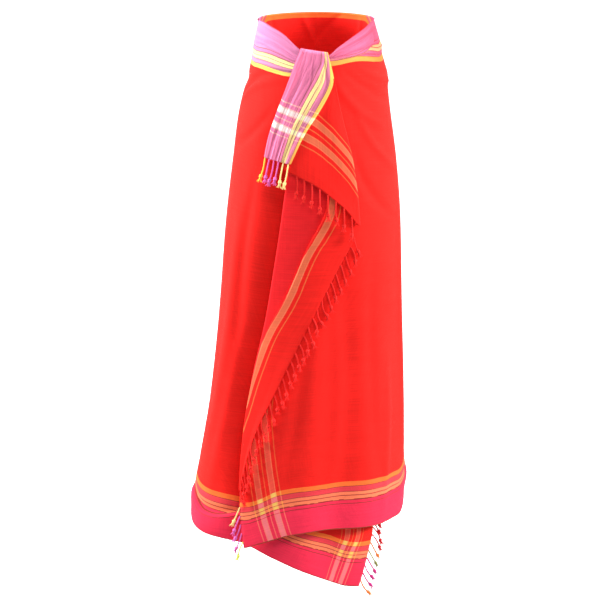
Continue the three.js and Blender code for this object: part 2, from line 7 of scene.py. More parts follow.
import math
import random
import bmesh
import bpy
from bpy.props import FloatProperty, FloatVectorProperty, IntProperty, PointerProperty
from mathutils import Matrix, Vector


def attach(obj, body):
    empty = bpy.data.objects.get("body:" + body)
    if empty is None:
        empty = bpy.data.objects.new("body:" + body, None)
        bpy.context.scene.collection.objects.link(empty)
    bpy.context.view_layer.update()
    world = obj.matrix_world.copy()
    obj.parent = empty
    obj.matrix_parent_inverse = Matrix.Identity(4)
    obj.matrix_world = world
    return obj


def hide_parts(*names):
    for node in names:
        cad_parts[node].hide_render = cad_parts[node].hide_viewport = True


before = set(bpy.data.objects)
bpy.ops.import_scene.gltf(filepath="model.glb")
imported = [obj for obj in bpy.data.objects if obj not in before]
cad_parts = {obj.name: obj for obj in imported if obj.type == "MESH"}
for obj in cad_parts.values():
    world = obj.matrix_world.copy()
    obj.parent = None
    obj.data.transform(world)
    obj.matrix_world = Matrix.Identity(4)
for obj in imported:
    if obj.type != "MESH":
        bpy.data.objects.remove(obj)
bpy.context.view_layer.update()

bl_info = {
    "name": "Worn Kikoy",
    "version": (1, 0, 0),
    "blender": (4, 5, 0),
    "location": "3D View > Sidebar > Kikoy",
    "description": "Dresses the wrapped cloth of a kikoy with its weave, folds and tassels",
    "category": "Object",
}

BODY = "root"

# ------------------------------------------------------------------------------------------- cloth sizes
CLOTH_WIDTH = 1.10  # from the top edge to the hem
BORDER = 0.0985  # plain border and its stripes, at the top edge and at the hem
STRIPES = 0.0615  # where a border's stripes start
RIM = 0.005  # height of the waist's edge at the sides and back
SIDE = 95  # angle where the front's layers have come down to the back's

# How far out from the wrapped form the middle of each layer lies.
LAYER = {"inner": 0.0, "pleat": 0.0026, "outer": 0.0052, "turned": 0.0078, "fall": 0.0106, "tail": 0.0136}


def mix(a, b, share):
    return a + (b - a) * share


def ease(share):
    share = min(max(share, 0.0), 1.0)
    return share * share * (3 - 2 * share)


def rise(place, start, end):
    """0 up to start, and smoothly on to 1 at end and past it. The end may be the lower of the two."""
    return ease((place - start) / (end - start))


def swell(share, power=1.0):
    """0 at both ends, and 1 half way."""
    return math.sin(math.pi * min(max(share, 0.0), 1.0)) ** power


def bell(away, width):
    """1 in the middle, and dying away on both sides."""
    return math.exp(-((away / width) ** 2))


def smooth_line(rows):
    """A function that runs smoothly through rows of (place, value)."""
    rows = sorted(rows)
    places = [place for place, _ in rows]
    values = [value for _, value in rows]
    last = len(rows) - 1
    slopes = []
    for i in range(last + 1):
        a, b = max(i - 1, 0), min(i + 1, last)
        slopes.append((values[b] - values[a]) / (places[b] - places[a]))

    def at(place):
        if place <= places[0]:
            return values[0]
        if place >= places[last]:
            return values[last]
        i = 0
        while place > places[i + 1]:
            i += 1
        span = places[i + 1] - places[i]
        t = (place - places[i]) / span
        t2, t3 = t * t, t * t * t
        start = (2 * t3 - 3 * t2 + 1) * values[i] + (t3 - 2 * t2 + t) * span * slopes[i]
        return start + (3 * t2 - 2 * t3) * values[i + 1] + (t3 - t2) * span * slopes[i + 1]

    return at


def smooth_column(rows, column):
    return smooth_line([(row[0], row[column]) for row in rows])


# The form that the cloth is wrapped on: an oval at each height.
SECTIONS = [  # height, half width, half depth, middle in x
    (0.040, 0.109, 0.082, 0.0),
    (0.000, 0.109, 0.082, 0.0),
    (-0.080, 0.127, 0.096, 0.002),
    (-0.170, 0.144, 0.110, -0.003),
    (-0.260, 0.156, 0.118, -0.003),
    (-0.370, 0.167, 0.124, -0.005),
    (-0.545, 0.177, 0.129, -0.010),
    (-0.730, 0.190, 0.135, -0.017),
    (-0.860, 0.202, 0.143, -0.027),
    (-0.960, 0.210, 0.150, -0.035),
    (-1.100, 0.216, 0.156, -0.038),
]
half_width = smooth_column(SECTIONS, 1)
half_depth = smooth_column(SECTIONS, 2)
centre_x = smooth_column(SECTIONS, 3)

# Long soft folds that every layer follows.
FOLDS = [  # angle at the waist, lean by the hem, half width in degrees, out, from height, to height
    (-66, -4, 15, 0.005, -0.150, -0.500),
    (16, 4, 12, -0.011, -0.330, -0.620),
    (42, 2, 13, 0.004, -0.300, -0.800),
    (62, -3, 14, -0.004, -0.350, -0.850),
    (114, 6, 14, 0.007, -0.200, -0.800),
    (140, 3, 12, -0.010, -0.150, -0.700),
    (166, -2, 13, 0.012, -0.200, -0.750),
    (194, 4, 12, -0.010, -0.120, -0.650),
    (220, 5, 13, 0.011, -0.180, -0.700),
    (247, 2, 12, -0.008, -0.250, -0.800),
]

# Places where the cloth bags out or is drawn in.
BULGES = [  # angle, height, half width in degrees, half height, out
    (-85, -0.108, 30, 0.012, -0.0035),
    (85, -0.098, 25, 0.018, 0.003),
    (101, -0.903, 16, 0.026, 0.008),
    (-68, -0.985, 24, 0.024, 0.007),
]

# Creases, each a soft trough or ridge from one place to another, bowed to one side.
CREASES = [  # angle and height of its start, and of its end, bow, half width, out
    (12, -0.086, 62, -0.190, 0.018, 0.0075, 0.0040),
    (20, -0.078, 84, -0.150, 0.012, 0.0055, -0.0036),
    (34, -0.074, 92, -0.112, 0.008, 0.0050, 0.0034),
    (30, -0.150, 78, -0.285, 0.020, 0.0085, 0.0036),
    (26, -0.215, 66, -0.372, 0.024, 0.0095, -0.0034),
    (-30, -0.090, -86, -0.142, 0.018, 0.0050, -0.0050),
    (-30, -0.100, -84, -0.160, 0.016, 0.0060, 0.0040),
    (-34, -0.150, -80, -0.236, -0.014, 0.0085, -0.0032),
    (-44, -0.260, -52, -0.640, 0.010, 0.0100, -0.0040),
    (-58, -0.330, -70, -0.840, -0.012, 0.0130, 0.0042),
    (-48, -0.560, -58, -0.930, 0.008, 0.0100, 0.0036),
    (-80, -0.420, -86, -0.900, 0.010, 0.0120, -0.0040),
    (0, -0.560, -6, -0.960, 0.008, 0.0110, -0.0040),
    (14, -0.480, 16, -0.930, -0.010, 0.0120, 0.0036),
    (40, -0.420, 46, -0.900, 0.010, 0.0120, -0.0036),
    (52, -0.620, 50, -0.960, -0.006, 0.0090, 0.0036),
    (74, -0.300, 78, -0.870, 0.008, 0.0120, 0.0038),
    (84, -0.700, 88, -0.940, 0.004, 0.0080, -0.0036),
    (128, 0.004, 150, -0.085, 0.008, 0.0060, -0.0030),
    (150, 0.006, 186, -0.060, -0.008, 0.0055, 0.0026),
    (196, 0.004, 176, -0.100, 0.006, 0.0070, -0.0030),
    (232, 0.004, 204, -0.075, -0.008, 0.0055, 0.0028),
    (104, -0.110, 124, -0.330, 0.014, 0.0080, 0.0024),
    (118, -0.105, 152, -0.260, 0.012, 0.0090, -0.0024),
    (128, -0.440, 126, -0.900, 0.012, 0.0110, 0.0028),
    (150, -0.380, 156, -0.800, -0.010, 0.0100, -0.0026),
    (176, -0.108, 172, -0.420, 0.008, 0.0090, 0.0024),
    (181, -0.500, 178, -0.930, 0.008, 0.0110, -0.0028),
    (206, -0.110, 196, -0.300, -0.010, 0.0080, -0.0024),
    (208, -0.560, 206, -0.930, 0.010, 0.0100, 0.0028),
    (236, -0.105, 214, -0.240, -0.012, 0.0090, 0.0022),
    (234, -0.400, 238, -0.860, -0.012, 0.0110, -0.0026),
    (256, -0.300, 262, -0.920, 0.010, 0.0110, 0.0028),
]
CREASE_REACH = 3.0  # half widths beyond which a crease is gone
METRES_A_DEGREE = math.radians(0.155)  # round the form, at its mean radius


def turn_between(angle, middle):
    return (angle - middle + 180) % 360 - 180


def crease_out(angle, z):
    out = 0.0
    for start_angle, start_z, end_angle, end_z, bow, width, depth in CREASES:
        run = turn_between(end_angle, start_angle) * METRES_A_DEGREE
        fall = end_z - start_z
        x = turn_between(angle, start_angle) * METRES_A_DEGREE
        y = z - start_z
        length = math.hypot(run, fall)
        share = (x * run + y * fall) / (length * length)
        if not 0 < share < 1:
            continue
        away = (x * fall - y * run) / length - bow * 4 * share * (1 - share)
        if abs(away) < CREASE_REACH * width:
            out += depth * bell(away, width) * swell(share, 0.7)
    return out


def relief(angle, z):
    """How far the folds, bulges and creases stand out."""
    out = crease_out(angle, z)
    for middle, lean, width, depth, start, end in FOLDS:
        away = turn_between(angle, middle - lean * z)
        out += depth * rise(z, start, end) * bell(away, width)
    for middle, height, width, tall, depth in BULGES:
        out += depth * bell(turn_between(angle, middle), width) * bell(z - height, tall)
    return out


def on_form(angle, z, out):
    """The point at an angle and height, that far out from the wrapped form."""
    turn = math.radians(angle)
    far = out + relief(angle, z)
    x = centre_x(z) + (half_width(z) + far) * math.sin(turn)
    return Vector((x, -(half_depth(z) + far) * math.cos(turn), z))


def girth_at(angle, z):
    """Metres of cloth for each degree round the form."""
    turn = math.radians(angle)
    return math.radians(math.hypot(half_width(z) * math.cos(turn), half_depth(z) * math.sin(turn)))


# ------------------------------------------------------------------------------------------- edges and folds
# Edges that run down the front: height and angle.
outer_edge = smooth_line([
    (-0.050, -10), (-0.075, 2), (-0.110, 7), (-0.200, 8), (-0.335, 8), (-0.407, -2.6),
    (-0.498, -14), (-0.578, -26.6), (-0.643, -32), (-0.736, -36), (-0.820, -35.7),
    (-0.925, -32.7), (-1.010, -28.2),
])
pleat_edge = smooth_line([
    (-0.180, -16.5), (-0.267, -18.1), (-0.378, -21.3), (-0.473, -24.9), (-0.559, -28.4),
    (-0.648, -33.6), (-0.720, -36.6),
])
turned_edge = smooth_line([
    (-0.399, 25.6), (-0.431, 19.4), (-0.511, 6.2), (-0.594, -5.8), (-0.684, -17.3),
    (-0.775, -28.1), (-0.873, -33.2), (-0.915, -32.6),
])
fall_fold = smooth_line([
    (-0.070, 10.5), (-0.103, 13.3), (-0.170, 19), (-0.227, 22.2), (-0.286, 24.4),
    (-0.331, 26.4), (-0.399, 27.6),
])
tail_left = smooth_line([
    (-0.043, -14.7), (-0.071, -19.4), (-0.118, -24.6), (-0.161, -29), (-0.202, -33.2),
    (-0.240, -35.6),
])
tail_right = smooth_line([
    (-0.049, 8.8), (-0.078, 11.4), (-0.098, 12.6), (-0.116, 10.6), (-0.154, 2.8),
    (-0.198, -6.8), (-0.251, -15.6),
])
inner_end = smooth_line([
    (-0.070, 12), (-0.300, 20), (-0.600, 32), (-0.900, 51), (-0.985, 51.4), (-1.027, 46),
    (-1.096, 38),
])
FALL_FOOT = -0.399  # height where the fall's fold ends

# The upper edge, on to the back and the inner layer: angle and height. 360 is the front again, one turn on.
waist_top = smooth_line([
    (-14, -0.056), (0, -0.055), (10.4, -0.049), (18, -0.037), (33, -0.020), (49.5, -0.006),
    (69, RIM), (290, RIM), (313, -0.004), (328, -0.016), (344.5, -0.041), (360, -0.054),
    (374, -0.058), (382, -0.074), (400, -0.076),
])
border_foot = smooth_line([
    (-14, -0.074), (10, -0.070), (35, -0.063), (57, -0.068), (75, -0.070), (95, -0.060),
    (101, -0.050), (109, -0.030), (117, -0.010), (124, -0.0045), (236, -0.0045),
    (243, -0.010), (251, -0.034), (259, -0.058), (268, -0.073), (285, -0.079),
    (303, -0.081), (334, -0.090), (350, -0.086), (374, -0.079), (400, -0.079),
])
stripes_top = smooth_line([
    (-14, -0.060), (10, -0.0575), (35, -0.053), (46, -0.048), (57, -0.040), (74, -0.034),
    (95, -0.028), (101, -0.020), (109, -0.010), (117, -0.001), (124, 0.001), (236, 0.001),
    (243, -0.001), (251, -0.010), (259, -0.026), (268, -0.043), (285, -0.049),
    (311, -0.051), (328, -0.059), (340, -0.066), (350, -0.067), (374, -0.063),
    (400, -0.063),
])
# How far across the cloth the stripes go on below the fold that hides some of them at the right of the knot.
stripes_shown_from = smooth_line([
    (-14, 0.0860), (10, 0.0860), (35, 0.0885), (46, 0.0810), (57, 0.0700), (68, STRIPES),
    (400, STRIPES),
])
# The upper border is turned down outside the back.
TURN_START = 92  # degrees from the front where it starts
TURN_FULL = 124  # and where it reaches all the way down
TURN_DROP = 0.096


def from_front(angle):
    """Degrees from the front, on either side."""
    return min(angle, 360 - angle)


def turned_down(angle):
    """How much of the upper border is turned down, so how far across the cloth the waist's edge lies."""
    return TURN_DROP * rise(from_front(angle), TURN_START, TURN_FULL)


# The lower border: angle, and the heights of its stripes' upper edge and of the hem.
OUTER_FOOT = [
    (-40, -0.920, -1.016),
    (-27, -0.914, -1.0055),
    (-21, -0.905, -0.997),
    (-13, -0.889, -0.986),
    (-6, -0.883, -0.977),
    (0, -0.879, -0.973),
    (10, -0.877, -0.969),
    (27, -0.874, -0.969),
    (61, -0.874, -0.968),
    (73, -0.873, -0.966),
    (85, -0.852, -0.949),
    (95, -0.828, -0.934),
    (125, -0.830, -0.930),
    (155, -0.838, -0.936),
    (180, -0.836, -0.936),
    (215, -0.842, -0.940),
    (250, -0.866, -0.949),
    (265, -0.882, -0.955),
    (282, -0.891, -0.966),
    (293, -0.901, -0.984),
    (303, -0.907, -0.994),
    (315, -0.913, -0.999),
    (330, -0.927, -1.008),
    (347, -0.950, -1.028),
    (361, -0.966, -1.050),
    (378, -0.984, -1.077),
    (390, -1.000, -1.093),
    (411, -1.010, -1.100),
]
lower_stripes = smooth_column(OUTER_FOOT, 1)
hem = smooth_column(OUTER_FOOT, 2)
fall_hem = smooth_line([
    (-24, -0.258), (-14.7, -0.269), (0.5, -0.290), (10.4, -0.313), (20.3, -0.341),
    (26.5, -0.366), (40, -0.400),
])

# The inner layer sinks away behind the outer layer's edge: height and depth.
hollow = smooth_line([
    (-0.090, 0.0), (-0.235, 0.010), (-0.380, 0.017), (-0.620, 0.021), (-0.860, 0.018),
    (-1.000, 0.009), (-1.100, 0.006),
])
HOLLOW_SPAN = 32
# It sinks further in a trough close along that edge: height and depth.
trough = smooth_line([
    (-0.130, 0.000), (-0.240, 0.006), (-0.500, 0.016), (-0.720, 0.023), (-0.840, 0.030),
    (-0.930, 0.020), (-1.010, 0.007),
])
TROUGH_SPAN = 10
PLEAT_END = -0.690  # the pleat's edge is the outer one down to here
# The inner free end curls in near its foot, which hides a little of its length.
CURL = {"deep": 0.012, "span": 22, "from": -0.700, "to": -0.900, "width": 0.030, "hidden": 0.010}
SIDE_SPAN = 45  # degrees over which the outer layer comes down to the back's


def layer_out(angle, z):
    """How far out the wrapped cloth lies, over its whole way round."""
    if angle < SIDE:
        return LAYER["outer"] * rise(angle, SIDE, SIDE - SIDE_SPAN)
    if angle < 360 - SIDE:
        return 0.0
    inside = angle - 360
    edge = pleat_edge(z) if z > PLEAT_END else outer_edge(z)
    sunk = hollow(z) * rise(inside, edge - HOLLOW_SPAN, edge)
    sunk += trough(z) * bell(inside - edge, TROUGH_SPAN)
    curled = rise(inside, inner_end(z) - CURL["span"], inner_end(z)) * rise(z, CURL["from"], CURL["to"])
    return LAYER["inner"] - sunk - CURL["deep"] * curled


BAND_GATHERS = [  # angles of its ends, share down the border at each, half width as a share, out
    (-8, 84, 0.30, 0.30, 0.09, -0.0040),
    (4, 72, 0.58, 0.64, 0.06, -0.0032),
    (-4, 60, 0.12, 0.14, 0.07, 0.0022),
    (46, 82, 0.86, 0.10, 0.08, -0.0046),
    (30, 92, 0.80, 0.92, 0.06, -0.0030),
    (48, 96, 0.44, 0.74, 0.06, 0.0028),
    (268, 352, 0.26, 0.40, 0.05, -0.0030),
    (286, 356, 0.50, 0.58, 0.05, -0.0028),
    (276, 350, 0.10, 0.20, 0.08, 0.0022),
    (292, 354, 0.38, 0.48, 0.05, 0.0018),
    (300, 358, 0.76, 0.78, 0.06, 0.0018),
]
BAND_PUFF = 0.0024
BAND_LEAST = 0.004  # height under which a band counts as run out
BAND_FULL = 0.040  # height from which its gathers are full

# The hem bags out at the left front, and its plain border folds up over part of the stripes.
ledge_height = smooth_line([
    (272, -0.912), (280, -0.921), (288, -0.930), (294, -0.940), (300, -0.948),
    (310, -0.951), (320, -0.945), (330, -0.936),
])
LEDGE = {
    "start": (270, 284),  # angles where it begins and is full
    "end": (334, 326),
    "out": 0.0115,
    "fold": 0.005,  # height over which it steps out
    "fade": 0.070,  # and dies away below
    "drawn_in": 0.4,  # share of its step that lies inside, above the fold
    "over": 0.020,
}
PLAIN = 0.0625  # width of a border's plain part at the hem


def band_gathers(angle, share):
    """Gathers that run along the tied upper border. share is 0 at its upper edge and 1 at its foot."""
    out = 0.0
    for start, end, near, far, width, depth in BAND_GATHERS:
        if start < angle < end:
            along = (angle - start) / (end - start)
            out += depth * swell(along, 0.6) * bell(share - mix(near, far, along), width)
    return out


def ledge_share(angle):
    return rise(angle, *LEDGE["start"]) * rise(angle, *LEDGE["end"])


def ledge_line(angle):
    """Height of the ledge's fold, or of the end of the stripes where there is no ledge."""
    flat = mix(lower_stripes(angle), hem(angle), 1 - PLAIN / BORDER)
    return mix(flat, ledge_height(angle), ledge_share(angle))


def ledge_out(below):
    """How far the ledge stands out at a depth below its fold."""
    step = rise(below, 0, LEDGE["fold"]) * rise(below, LEDGE["fade"], 0)
    return LEDGE["out"] * (step - LEDGE["drawn_in"] * rise(below, -LEDGE["over"], 0))


def wrap_out(angle, z):
    """How far out the wrapped cloth lies, with the gathers of its upper border and the ledge at its hem."""
    top, foot = waist_top(angle), border_foot(angle)
    out = layer_out(angle, z)
    if z > foot - BAND_LEAST:
        share = (top - z) / max(top - foot, BAND_LEAST)
        out += rise(top - foot, 0, BAND_FULL) * (band_gathers(angle, share) + BAND_PUFF * swell(share))
    seen = ledge_share(angle)
    if seen > 0:
        out += seen * ledge_out(ledge_line(angle) - z)
    return out


# Rows of the wrapped cloth's mesh between the lines that run along the cloth, from its upper edge down: to
# the stripes, over the fold that hides some of them, to the border's foot, over the field, over the lower
# stripes, over the ledge's fold, and to the hem.
WRAP_ROWS = (22, 1, 8, 126, 7, 1, 20)
UPPER_FOLD = 0.0007  # heights of the rows that lie in a fold
LEDGE_FOLD = 0.0010
PLAIN_LEAST = 0.4  # least share of what shows of the upper border that is plain


def wrap_lines(angle):
    """Heights of those lines at an angle, with how far across the cloth each lies."""
    at_top = turned_down(angle)
    stripes = max(STRIPES, mix(at_top, BORDER, PLAIN_LEAST))
    start = stripes_top(angle)
    ledge = ledge_line(angle)
    at_ledge = CLOTH_WIDTH - BORDER + lower_stripes(angle) - ledge
    last_seen = mix(CLOTH_WIDTH - PLAIN, at_ledge, ledge_share(angle))
    return (
        (waist_top(angle), at_top),
        (start, stripes),
        (start - UPPER_FOLD, max(stripes_shown_from(angle), stripes)),
        (border_foot(angle), BORDER),
        (lower_stripes(angle), CLOTH_WIDTH - BORDER),
        (ledge, last_seen),
        (ledge - LEDGE_FOLD, CLOTH_WIDTH - PLAIN),
        (hem(angle), CLOTH_WIDTH),
    )


def down_the_wrap(angle, row):
    """Height, and distance across the cloth, of a row of the wrapped cloth's mesh."""
    lines = wrap_lines(angle)
    for i, rows in enumerate(WRAP_ROWS):
        if row <= rows:
            share = row / rows
            return mix(lines[i][0], lines[i + 1][0], share), mix(lines[i][1], lines[i + 1][1], share)
        row -= rows
    return lines[-1]


def lean_of(edge, z):
    """The cosine of an edge's lean from upright, which turns a level width into one square to the edge."""
    step = 0.01
    slope = (edge(z + step) - edge(z - step)) / (2 * step) * girth_at(edge(z), z)
    return 1 / math.hypot(1, slope)


# How far along the cloth, from its outer fringed end, its folded front edge lies: height and distance.
fold_along = smooth_line([
    (-0.300, 0.150), (-0.360, 0.110), (-0.400, 0.074), (-0.555, 0.072), (-0.610, 0.070),
    (-0.682, 0.063), (-0.733, 0.058), (-0.773, 0.050), (-0.838, 0.037), (-0.940, 0.017),
    (-0.990, 0.0075), (-1.010, 0.003),
])
INNER_SLANT = 1.12  # the inner end leans, so its cloth is longer than the way round
INNER_PLAIN = {"along": 0.20, "from": -0.860, "full": -0.720}  # its cross stripes show only at its foot


def from_fold(angle, z):
    """Distance from the folded front edge, square to it."""
    return (angle - outer_edge(z)) * girth_at(angle, z) * lean_of(outer_edge, z)


def wrap_along(angle, z):
    """How far along the cloth, from the nearer fringed end, a place on the wrap lies."""
    if angle < 180:
        return fold_along(z) + from_fold(angle, z)
    from_inner = (360 + inner_end(z) - angle) * girth_at(angle, z)
    curled = CURL["hidden"] * rise(from_inner, 0, CURL["width"])
    plain = INNER_PLAIN["along"] * rise(z, INNER_PLAIN["from"], INNER_PLAIN["full"])
    return from_inner * INNER_SLANT + curled + plain


def wrap_gathers(angle, across):
    """How closely the wrapped cloth is gathered, which sets the gathers' bump and their painted shade: only
    in its upper border, and most at the front.
    """
    return rise(across, BORDER + 0.012, BORDER - 0.013) * rise(abs(angle - 180), 60, 120)


def wrap_blush(angle):
    """How far the upper border turns pink: at the right of the tie, and round the back."""
    right = rise(angle, -4, 6) * mix(0.45, 0.95, rise(angle, 25, 70)) if angle < 180 else 0.0
    back = rise(angle, 92, 112) * rise(angle, 268, 248)
    return max(right, back)


# ------------------------------------------------------------------------------------------- cloth making
SETTLING = 5  # rounds in which an angle and a height that depend on each other settle


def placed(name, data):
    """A new object in the scene, at its origin."""
    made = bpy.data.objects.new(name, data)
    bpy.context.scene.collection.objects.link(made)
    return made


def cloth_grid(name, columns, rows, lay):
    """A sheet of cloth with its own measures as its UV map.

    lay takes shares across and down the sheet. It gives the point in space, the distances along and across
    the cloth, how gathered the cloth is there, which sets the gathers' bump and their painted shade, and how
    far its upper border turns from orchid to pink.
    """
    mesh = bpy.data.meshes.new(name)
    made = bmesh.new()
    bmesh.ops.create_grid(made, x_segments=columns, y_segments=rows, size=0.5)
    measures = made.loops.layers.uv.new("cloth")
    gathered = made.verts.layers.float.new("gathered")
    blush = made.verts.layers.float.new("blush")
    woven = {}
    for vert in made.verts:
        laid = lay(vert.co.x + 0.5, 0.5 - vert.co.y)
        vert.co, woven[vert.index], vert[gathered], vert[blush] = laid
    for face in made.faces:
        face.smooth = True
        for loop in face.loops:
            loop[measures].uv = woven[loop.vert.index]
    face_out(made)
    made.to_mesh(mesh)
    made.free()
    return placed(name, mesh)


def face_out(made):
    """Turns a sheet's faces away from the wearer where they were made facing in."""
    made.normal_update()
    outward = 0.0
    for face in made.faces:
        middle = face.calc_center_median()
        outward += face.calc_area() * face.normal.dot(Vector((middle.x, middle.y, 0)))
    if outward < 0:
        bmesh.ops.reverse_faces(made, faces=made.faces)


def dress(piece, nodes):
    """Has a piece ride on the body and stand for these nodes of the CAD model."""
    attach(piece, BODY)
    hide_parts(*nodes)


def finish_cloth(piece, material, nodes):
    """Gives a sheet its wall and its material."""
    wall = piece.modifiers.new("cloth thickness", "SOLIDIFY")
    wall.thickness = bpy.context.scene.kikoy_cloth.thickness
    wall.offset = 0
    wall.use_rim = True
    piece.data.materials.append(material)
    dress(piece, nodes)


def between(left, right, top, foot, u, v):
    """The angle and height of a place between four edges."""
    z = mix(top(0), foot(0), v)
    angle = 0.0
    for _ in range(SETTLING):
        angle = mix(left(z), right(z), u)
        z = mix(top(angle), foot(angle), v)
    return angle, z


def rolled(share, fold_angle, z, below, above, direction):
    """A fold from one layer to another: the angle and distance out at a share of its half turn."""
    radius = (above - below) / 2
    turn = math.pi * share
    sideways = -math.sin(turn) * abs(radius) * direction
    out = (below + above) / 2 - math.cos(turn) * radius
    return fold_angle + sideways / girth_at(fold_angle, z), out


# ------------------------------------------------------------------------------------------- colours
def linear(colour):
    """A screen colour as the shader's own linear values."""
    parts = [c / 12.92 if c <= 0.04045 else ((c + 0.055) / 1.055) ** 2.4 for c in colour[:3]]
    return (*parts, 1.0)


class ShaderTree:
    """Short names for what a material is built from.

    A value is a number, a colour or another node's output.
    """

    def __init__(self, name):
        self.material = bpy.data.materials.new(name)
        self.material.use_nodes = True
        self.tree = self.material.node_tree
        self.shader = self.tree.nodes["Principled BSDF"]

    def node(self, kind, **settings):
        made = self.tree.nodes.new(kind)
        for name, value in settings.items():
            setattr(made, name, value)
        return made

    def feed(self, socket, value):
        if isinstance(value, bpy.types.NodeSocket):
            self.tree.links.new(value, socket)
        else:
            socket.default_value = value

    def math(self, operation, first, second=0.0):
        made = self.node("ShaderNodeMath", operation=operation)
        self.feed(made.inputs[0], first)
        self.feed(made.inputs[1], second)
        return made.outputs[0]

    def total(self, start, *parts):
        """A number with each part, times its weight, added to it."""
        for value, weight in parts:
            start = self.math("ADD", start, self.math("MULTIPLY", value, weight))
        return start

    def blend(self, share, first, second):
        made = self.node("ShaderNodeMix", data_type="RGBA")
        for place, value in ((0, share), (6, first), (7, second)):
            self.feed(made.inputs[place], value)
        return made.outputs[2]

    def steps(self, place, rows, reach):
        """A colour that changes in steps, from rows of the distance it starts at and the colour.

        place is a share of reach.
        """
        made = self.node("ShaderNodeValToRGB")
        made.color_ramp.interpolation = "CONSTANT"
        self.feed(made.inputs[0], place)
        stops = made.color_ramp.elements
        stops[0].position, stops[0].color = rows[0][0] / reach, rows[0][1]
        stops[1].position, stops[1].color = rows[1][0] / reach, rows[1][1]
        for start, colour in rows[2:]:
            stops.new(start / reach).color = colour
        return made.outputs[0]

    def noise(self, place, scales, detail):
        """Noise with a scale of its own along each axis."""
        stretched = self.node("ShaderNodeMapping")
        stretched.inputs["Scale"].default_value = scales
        self.feed(stretched.inputs["Vector"], place)
        made = self.node("ShaderNodeTexNoise")
        made.inputs["Scale"].default_value = 1.0
        made.inputs["Detail"].default_value = detail
        self.feed(made.inputs["Vector"], stretched.outputs["Vector"])
        return made.outputs["Fac"]

    def finish(self, colour, tone, height, bump, surface):
        """The material: its colour made lighter or darker by the tone, and raised by the height."""
        toned = self.node("ShaderNodeVectorMath", operation="SCALE")
        self.feed(toned.inputs[0], colour)
        self.feed(toned.inputs["Scale"], tone)
        self.feed(self.shader.inputs["Base Color"], toned.outputs[0])
        raised = self.node("ShaderNodeBump")
        self.feed(raised.inputs["Height"], height)
        self.feed(self.shader.inputs["Normal"], raised.outputs[0])
        for inputs, values in ((raised.inputs, bump), (self.shader.inputs, surface)):
            for socket, value in values.items():
                inputs[socket].default_value = value
        return self.material


BORDER_REACH = 0.104  # distances that the borders' and the cross stripes' colour steps cover
CROSS_REACH = 0.130
WOBBLE = 0.0012  # how far the stripes' edges wander
# The cross stripes: the space between two thin lines, and the width and strength of these, of the bands
# halfway between them and of the bands' core.
LINE_SPACING = 0.029
THIN_LINE = (0.0022, 0.85)
CROSS_BAND = (0.0126, 0.80)
BAND_CORE = (0.0086, 0.92)
EDGE_SHARE = 0.45  # of the lines' and the bands' edges' own colour, over that of the crossed borders
COTTON_BUMP = {"Strength": 0.75, "Distance": 0.0006}
COTTON = {"Roughness": 0.82, "Specular IOR Level": 0.10, "Sheen Weight": 0.03, "Sheen Roughness": 0.40}
THREAD_BUMP = {"Strength": 0.4, "Distance": 0.0003}
THREAD = {"Roughness": 0.85, "Specular IOR Level": 0.20, "Sheen Weight": 0.08}
BLACK = (0, 0, 0, 1)
WHITE = (1, 1, 1, 1)


def border_rows(plain, dark, stripe, strip, band, edge_shade_and_stitch, field):
    """One border from the cloth's edge inwards: (distance from the edge, colour)."""
    return [
        # At the upper border the colour at the very edge is painted shade along its rolled edge; at the hem
        # it is the stitched edge.
        (0.0, edge_shade_and_stitch),
        (0.0016, plain),
        (0.0532, dark),
        (0.0546, plain),
        (0.0608, dark),
        (0.0625, stripe),
        (0.0690, dark),
        (0.0706, stripe),
        (0.0768, dark),
        (0.0784, strip),
        (0.0880, dark),
        (0.0892, band),
        (BORDER, field),
    ]


